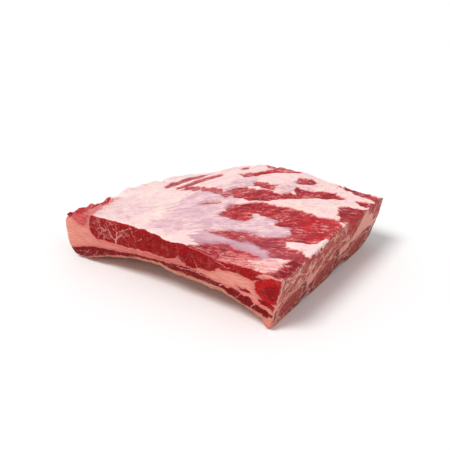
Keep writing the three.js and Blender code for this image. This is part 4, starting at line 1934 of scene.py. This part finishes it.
    def torn_border(self, g: Graph, f: Fields) -> Socket:
        """How deep in lean points lie, with the border to the fat torn by the grain."""
        tatters = g.add(g.sway(f.threads, 7.0), g.sway(f.flecks, 5.0))
        return g.add(
            f.lean,
            g.times(tatters, f.salmon),
            g.sway(f.threads, 3.6),
            g.sway(f.blots, 2.0),
            g.sway(f.grain, 0.9),
        )

    def bone_share(self, g: Graph, f: Fields) -> Socket:
        """How much of a point is sawn rib: only the two ends have any."""
        at = g.ramp(g.add(f.bone, g.sway(f.blots, 3.0)), -0.3, 0.5)
        at_end = g.ramp(g.math("ABSOLUTE", g.split(f.place)[0]), *self.bone_from)
        return g.times(g.times(at, g.minus(1.0, f.cream)), at_end)

    def film_share(self, g: Graph, f: Fields, red: Socket) -> Socket:
        """How much of a point the film covers: most over fat, little over lean."""
        frayed = g.add(
            f.film, g.sway(f.patchy, 1.3), g.sway(f.threads, 2.2), g.sway(f.blots, 0.8)
        )
        film = g.times(g.ramp(frayed, 0.25, 1.15), g.ramp(f.film, 0.05, 0.3))
        return g.times(film, g.minus(1.0, g.times(red, 0.85)))

    def film_colour(self, g: Graph, f: Fields, border: Socket) -> Socket:
        """The bluish film, with pale and pink strands, and darker near the lean."""
        p = self.palette
        # Painted sheen: the paler film where the sheen noise is high stands partly for
        # light on the membrane, partly for its own pale streaks.
        sheen = g.noise(g.stretch(f.fibre, self.sheen_scale), 1.0, 6.0, 0.65, 0.4)
        film = g.mix(g.ramp(sheen, 0.42, 0.60), p.film, p.film_sheen)
        strand = g.times(g.contour(sheen, 0.52, 0.010), g.ramp(f.patchy, 0.42, 0.56))
        film = g.mix(g.times(strand, 0.7), film, p.cream)
        strand = g.times(g.contour(sheen, 0.44, 0.008), g.ramp(f.blots, 0.44, 0.56))
        film = g.mix(g.times(strand, 0.5), film, p.sheath)
        film = g.mix(g.ramp(border, -4.5, -0.4, 0.0, 0.45), film, p.dusk)
        return g.mix(g.ramp(f.film, 0.95, 1.3, 0.0, 0.25), film, p.dusk)

    def skin_share(self, g: Graph, f: Fields) -> Socket:
        """How much of a point is inner skin, with a frayed edge."""
        frayed = g.add(f.skin, g.sway(f.blots, 4.0), g.sway(f.threads, 5.0))
        return g.ramp(frayed, -0.6, 0.6, 0.0, 0.85)

    def skin_colour(self, g: Graph, f: Fields) -> Socket:
        """The inner skin: beige and pink, and redder with specks on the nub, whose pink is
        lightened as painted light against the shade near the floor.
        """
        p = self.palette
        skin = g.mix(g.ramp(f.threads, 0.42, 0.60), p.skin, p.skin_pink)
        pinker = g.times(f.salmon, g.ramp(f.grain, 0.4, 0.6, 0.3, 1.0))
        specks = g.times(f.salmon, g.ramp(f.grain, 0.50, 0.58, 0.0, 0.75))
        return g.mix(specks, g.mix(pinker, skin, p.nub), p.rosy)

    def build(self) -> bpy.types.Material:
        """Makes the material: lean and fat, then bone, film and skin over them.

        Returns:
            The material.
        """
        g = Graph(self.name)
        f = self.fields(g)
        border = self.torn_border(g, f)
        red = g.ramp(border, -0.5, 0.5)
        colour = g.mix(red, self.fat_colour(g, f), self.lean_colour(g, f))
        near = g.ramp(g.math("ABSOLUTE", g.add(border, 0.35)), 1.1, 0.2, 0.0, 0.5)
        colour = g.mix(near, colour, self.palette.sheath)
        smeared = g.times(g.times(f.sawn, red), 0.9)
        colour = g.mix(smeared, colour, self.sawn_colour(g, f))
        colour = g.mix(self.bone_share(g, f), colour, self.bone_colour(g, f))
        colour = g.mix(self.film_share(g, f, red), colour, self.film_colour(g, f, border))
        colour = g.mix(self.skin_share(g, f), colour, self.skin_colour(g, f))
        self.surface(g, f, colour, red)
        return g.material

    def surface(self, g: Graph, f: Fields, colour: Socket, red: Socket) -> None:
        """Joins the colour to the moist surface and its bump.

        Args:
            g: the material's graph.
            f: its fields.
            colour: the finished colour.
            red: the share of lean.
        """
        moist = g.ramp(g.noise(f.place, 0.3), 0.38, 0.62, -self.moisture, self.moisture)
        height = g.add(
            g.times(f.threads, g.ramp(red, 0.0, 1.0, 0.5, 1.3)),
            g.times(f.flecks, g.ramp(red, 0.0, 1.0, 0.3, 0.9)),
            g.times(f.grain, 0.5),
            g.times(f.fine, 0.2),
        )
        bump = g.node("ShaderNodeBump")
        bump.inputs["Strength"].default_value = self.bump
        bump.inputs["Distance"].default_value = self.bump_reach
        g.feed(bump.inputs["Height"], height)
        shader = g.node("ShaderNodeBsdfPrincipled")
        g.feed(shader.inputs["Base Color"], colour)
        g.feed(shader.inputs["Roughness"], g.add(moist, self.roughness))
        g.feed(shader.inputs["Normal"], bump.outputs[0])
        shader.inputs["Specular IOR Level"].default_value = self.specular
        shader.inputs["Subsurface Weight"].default_value = self.subsurface
        shader.inputs["Subsurface Radius"].default_value = self.subsurface_radius
        shader.inputs["Subsurface Scale"].default_value = self.subsurface_scale
        g.finish(shader)


# ---- pieces


def make_mesh(name: str, points: Array, faces: list[Array]) -> bpy.types.Object:
    """Makes an object from points in millimetres and arrays of faces.

    Args:
        name: the object's name.
        points: rows of x, y and z.
        faces: arrays of corner indices, quads or triangles.

    Returns:
        The object, linked to the scene.
    """
    mesh = bpy.data.meshes.new(name)
    corners = np.concatenate([f.ravel() for f in faces]).astype(np.int32)
    totals = np.concatenate([np.full(len(f), f.shape[1]) for f in faces])
    starts = np.concatenate([[0], np.cumsum(totals)[:-1]]).astype(np.int32)
    mesh.vertices.add(len(points))
    mesh.vertices.foreach_set("co", (points * MM).astype(np.float32).ravel())
    mesh.loops.add(len(corners))
    mesh.loops.foreach_set("vertex_index", corners)
    mesh.polygons.add(len(totals))
    mesh.polygons.foreach_set("loop_start", starts)
    mesh.update(calc_edges=True)
    mesh.validate()
    made = bpy.data.objects.new(name, mesh)
    bpy.context.scene.collection.objects.link(made)
    return made


def carve(
    target: bpy.types.Object, tools: list[bpy.types.Object], carving: Carving, name: str
) -> bpy.types.Object:
    """Cuts tools out of a target, or keeps what they share, as a new object.

    Args:
        target: the object that is cut. It stays as it is.
        tools: what it is cut with.
        carving: what is kept of it.
        name: the new object's name.

    Returns:
        The new object.
    """
    made = bpy.data.objects.new(name, target.data.copy())
    bpy.context.scene.collection.objects.link(made)
    for tool in tools:
        cut = made.modifiers.new("cut", "BOOLEAN")
        cut.operation = carving.value
        cut.solver = "MANIFOLD"
        cut.object = tool
    graph = bpy.context.evaluated_depsgraph_get()
    result = bpy.data.meshes.new_from_object(made.evaluated_get(graph))
    made.modifiers.clear()
    made.data = result
    result.name = name
    if not len(result.polygons):
        raise ValueError(f"nothing is left of {name}")
    return made


class Finder:
    """Finds the nearest of a set of points, by place."""

    GRAIN = 1e-4
    BITS = 22

    def __init__(self, points: Array) -> None:
        """Sorts the points by place, and puts them into a tree."""
        keys = self.keys(points)
        self.order = np.argsort(keys)
        self.sorted = keys[self.order]
        self.tree = KDTree(len(points))
        for i, point in enumerate(points.tolist()):
            self.tree.insert(point, i)
        self.tree.balance()

    def keys(self, points: Array) -> Array:
        """A whole number for each place, after rounding to Blender's precision."""
        metres = (points * MM).astype(np.float32)
        cells = np.round(metres.astype(float) / MM / self.GRAIN).astype(np.int64)
        x, y, z = (cells + (1 << (self.BITS - 1))).T
        return (x << (2 * self.BITS - 1)) ^ (y << self.BITS) ^ z

    def __call__(self, points: Array) -> Array:
        """The index of the nearest point to each place."""
        keys = self.keys(points)
        at = np.clip(np.searchsorted(self.sorted, keys), 0, len(self.sorted) - 1)
        found = self.order[at]
        for i in np.flatnonzero(self.sorted[at] != keys):
            found[i] = self.tree.find(points[i])[1]
        return found


@dataclass(frozen=True)
class Cut:
    """How one piece is cut from its layer: the node it replaces, and its slot."""

    node: str
    layer: Layer
    tools: list[bpy.types.Object]
    carving: Carving
    slot: Slot


@dataclass
class Slab:
    """The slab of short ribs: four layers, three ribs and two small muscles."""

    form: SlabForm = field(default_factory=SlabForm)
    rib_sides: int = 64
    rib_steps: int = 70
    rib_overrun: float = 1.05
    egg_rounds: int = 5
    sharp_angle: float = 48.0
    edge_line: tuple[float, float] = (80.0, 75.0)
    overshoot: float = 6.0

    def __post_init__(self) -> None:
        """Builds the anatomy and the hull."""
        self.anatomy = Anatomy(self.form)
        fineness = FINE
        self.hull = Hull(self.form, self.anatomy, Relief(), fineness)
        self.finder = Finder(self.hull.points)

    def rib_sweep(self, rib: Rib) -> bpy.types.Object:
        """A rib as a closed sweep that runs past both sawn ends."""
        half = self.form.half_length * self.rib_overrun
        x = np.linspace(-half, half, self.rib_steps + 1)
        angle = np.linspace(0, 2 * np.pi, self.rib_sides, endpoint=False)
        power = self.form.rib_squareness
        side = np.sign(np.cos(angle)) * np.abs(np.cos(angle)) ** power
        rise = np.sign(np.sin(angle)) * np.abs(np.sin(angle)) ** power
        tilt = math.radians(rib.tilt)
        across = side[None, :] * rib.width / 2 * np.ones((len(x), 1))
        upward = rise[None, :] * self.form.rib_half_height(rib, x)[:, None]
        y = rib.y + across * math.cos(tilt) - upward * math.sin(tilt)
        z = self.form.rib_middle(rib, x)[:, None]
        z = z + across * math.sin(tilt) + upward * math.cos(tilt)
        ring = np.stack([np.broadcast_to(x[:, None], y.shape), y, z], -1)
        points = ring.reshape(-1, 3)
        n, m = self.rib_steps, self.rib_sides
        index = np.arange(len(points)).reshape(n + 1, m)
        after = np.roll(index, -1, axis=1)
        walls = np.stack([index[:-1], index[1:], after[1:], after[:-1]], -1).reshape(-1, 4)
        walls = walls[:, ::-1]
        middles = ring.mean(axis=1)[[0, -1]]
        low, high = len(points), len(points) + 1
        first = np.stack([np.full(m, low), after[0], index[0]], 1)
        last = np.stack([np.full(m, high), index[-1], after[-1]], 1)
        points = np.concatenate([points, middles])
        return make_mesh("cut_" + rib.name, points, [walls, first, last])

    def corner_egg(self) -> bpy.types.Object:
        """The egg whose part inside the fat is the corner muscle."""
        made = bmesh.new()
        bmesh.ops.create_icosphere(made, subdivisions=self.egg_rounds, radius=1.0)
        mesh = bpy.data.meshes.new("cut_corner")
        reach = Vector(self.anatomy.corner_reach)
        for vertex in made.verts:
            vertex.co = (vertex.co * reach + Vector(self.anatomy.corner_muscle)) * MM
        made.to_mesh(mesh)
        made.free()
        egg = bpy.data.objects.new("cut_corner", mesh)
        bpy.context.scene.collection.objects.link(egg)
        return egg

    def back_strip(self) -> bpy.types.Object:
        """Everything behind the line where the back edge's muscle starts."""
        reach = self.form.half_length + self.overshoot
        back = self.form.back_y + self.overshoot
        left, right = self.edge_line
        plan = [(-reach, left), (reach, right), (reach, back), (-reach, back)]
        low = [(x, y, -self.overshoot) for x, y in plan]
        high = [(x, y, 2 * self.form.edge_height) for x, y in plan]
        sides = [(i, (i + 1) % 4, 4 + (i + 1) % 4, 4 + i) for i in range(4)]
        faces = np.array([(3, 2, 1, 0), (4, 5, 6, 7), *sides])
        return make_mesh("cut_strip", np.array(low + high, float), [faces])

    def build(self) -> list[bpy.types.Object]:
        """Builds and dresses every piece.

        Returns:
            The finished pieces.
        """
        layers = [make_mesh(f"layer_{i}", *self.hull.layer(i)) for i in Layer]
        strip, egg = self.back_strip(), self.corner_egg()
        sweeps = [self.rib_sweep(rib) for rib in self.form.ribs]
        off, kept = Carving.OUTSIDE_TOOLS, Carving.INSIDE_TOOLS
        plan = [
            Cut("top_muscle", Layer.TOP_MUSCLE, [strip], off, Slot.LEAN),
            Cut("edge_muscle", Layer.TOP_MUSCLE, [strip], kept, Slot.DEEP_LEAN),
            Cut("fat_seam", Layer.FAT_SEAM, [egg], off, Slot.FAT),
            Cut("corner_muscle", Layer.FAT_SEAM, [egg], kept, Slot.LEAN),
            Cut("rib_meat", Layer.RIB_MEAT, sweeps, off, Slot.DEEP_LEAN),
            Cut("inner_skin", Layer.INNER_SKIN, [], off, Slot.INNER_SKIN),
        ]
        for rib, sweep in zip(self.form.ribs, sweeps):
            plan.append(Cut(rib.name, Layer.RIB_MEAT, [sweep], kept, Slot.BONE))
        finishes = {slot: FleshFinish(f"{slot.value}_flesh").build() for slot in Slot}
        pieces = []
        for cut in plan:
            piece = carve(layers[cut.layer], cut.tools, cut.carving, f"{cut.node}_flesh")
            self.dress(piece, finishes[cut.slot])
            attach(piece, "root")
            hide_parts(cut.node)
            log.info("%s has %d faces", piece.name, len(piece.data.polygons))
            pieces.append(piece)
        for spare in [*layers, strip, egg, *sweeps]:
            mesh = spare.data
            bpy.data.objects.remove(spare)
            bpy.data.meshes.remove(mesh)
        return pieces

    def dress(self, piece: bpy.types.Object, finish: bpy.types.Material) -> None:
        """Gives a piece its material and what shows at each of its points.

        Args:
            piece: the object.
            finish: its material.
        """
        mesh = piece.data
        mesh.materials.clear()
        mesh.materials.append(finish)
        points = np.zeros(len(mesh.vertices) * 3, np.float32)
        mesh.vertices.foreach_get("co", points)
        points = points.reshape(-1, 3).astype(float) / MM
        found = self.hull.found.pick(self.finder(points))
        for name in NUMBERS:
            made = mesh.attributes.new(name, "FLOAT", "POINT")
            made.data.foreach_set("value", getattr(found, name).astype(np.float32))
        vectors = {
            "tone": np.stack([found.veil, found.bright, found.dark], 1),
            "zone": np.stack([found.cream, found.sawn, found.veins], 1),
            "fibre": found.fibre,
        }
        for name, values in vectors.items():
            made = mesh.attributes.new(name, "FLOAT_VECTOR", "POINT")
            made.data.foreach_set("vector", values.astype(np.float32).ravel())
        mesh.shade_smooth()
        mesh.set_sharp_from_angle(angle=math.radians(self.sharp_angle))


# ---- studio


@dataclass(frozen=True)
class Sun:
    """One far soft light: which way it lies, its strength, and its width in degrees."""

    name: str
    way: Triple
    power: float
    spread: float

    def build(self) -> None:
        """Hangs the light."""
        data = bpy.data.lights.new(self.name, "SUN")
        data.energy = self.power
        data.angle = math.radians(self.spread)
        lamp = bpy.data.objects.new(self.name, data)
        lamp.location = self.way
        lamp.rotation_euler = (-Vector(self.way)).to_track_quat("-Z", "Y").to_euler()
        bpy.context.scene.collection.objects.link(lamp)


@dataclass(frozen=True)
class Studio:
    """A plain pale floor, soft light, and the camera at the photographed angle."""

    azimuth: float = 35.0
    elevation: float = 25.0
    distance: float = 640.0
    target: Triple = (-6.5, 4.0, 24.0)
    lens: float = 50.0
    floor_size: float = 60.0
    world: float = 0.55
    floor_colour: Colour = (0.90, 0.90, 0.90)
    floor_light: Colour = (0.92, 0.92, 0.92)
    floor_roughness: float = 0.9
    suns: tuple[Sun, ...] = (
        Sun("key", (-0.20, -0.50, 0.85), 2.05, 24.0),
        Sun("fill", (0.80, -0.10, 0.60), 0.25, 60.0),
    )

    def floor(self) -> bpy.types.Object:
        """Lays the floor just under the slab.

        Returns:
            The floor.
        """
        half = self.floor_size / 2
        sides = ((-half, -half), (half, -half), (half, half), (-half, half))
        corners = np.array([(x, y, 0) for x, y in sides])
        made = make_mesh("floor", corners / MM, [np.array([[0, 1, 2, 3]])])
        g = Graph("pale_floor")
        shader = g.node("ShaderNodeBsdfPrincipled")
        place = g.node("ShaderNodeTexCoord").outputs["Object"]
        tone = g.ramp(g.noise(place, 3.0), 0.3, 0.7)
        colour = g.mix(tone, self.floor_colour, self.floor_light)
        g.feed(shader.inputs["Base Color"], colour)
        shader.inputs["Roughness"].default_value = self.floor_roughness
        g.finish(shader)
        made.data.materials.append(g.material)
        return made

    def camera(self) -> None:
        """Sets the camera up."""
        data = bpy.data.cameras.new("view")
        data.lens = self.lens
        made = bpy.data.objects.new("view", data)
        a, e = math.radians(self.azimuth), math.radians(self.elevation)
        back = Vector((math.sin(a) * math.cos(e), -math.cos(a) * math.cos(e), math.sin(e)))
        made.location = Vector(self.target) * MM + back * self.distance * MM
        made.rotation_euler = (-back).to_track_quat("-Z", "Y").to_euler()
        bpy.context.scene.collection.objects.link(made)
        bpy.context.scene.camera = made

    def build(self) -> None:
        """Builds the whole set."""
        self.floor()
        self.camera()
        for sun in self.suns:
            sun.build()
        scene = bpy.context.scene
        world = bpy.data.worlds.new("soft_white")
        world.use_nodes = True
        shade = world.node_tree.nodes["Background"]
        shade.inputs["Color"].default_value = (1.0, 1.0, 1.0, 1.0)
        shade.inputs["Strength"].default_value = self.world
        scene.world = world
        scene.view_settings.view_transform = "Standard"
        scene.view_settings.look = "None"


def main() -> None:
    """Builds the set and the slab."""
    logging.basicConfig(level=logging.INFO, format="%(name)s: %(message)s")
    Studio().build()
    log.info("studio built")
    pieces = Slab().build()
    log.info("slab built of %d pieces", len(pieces))


if __name__ == "__main__":
    main()
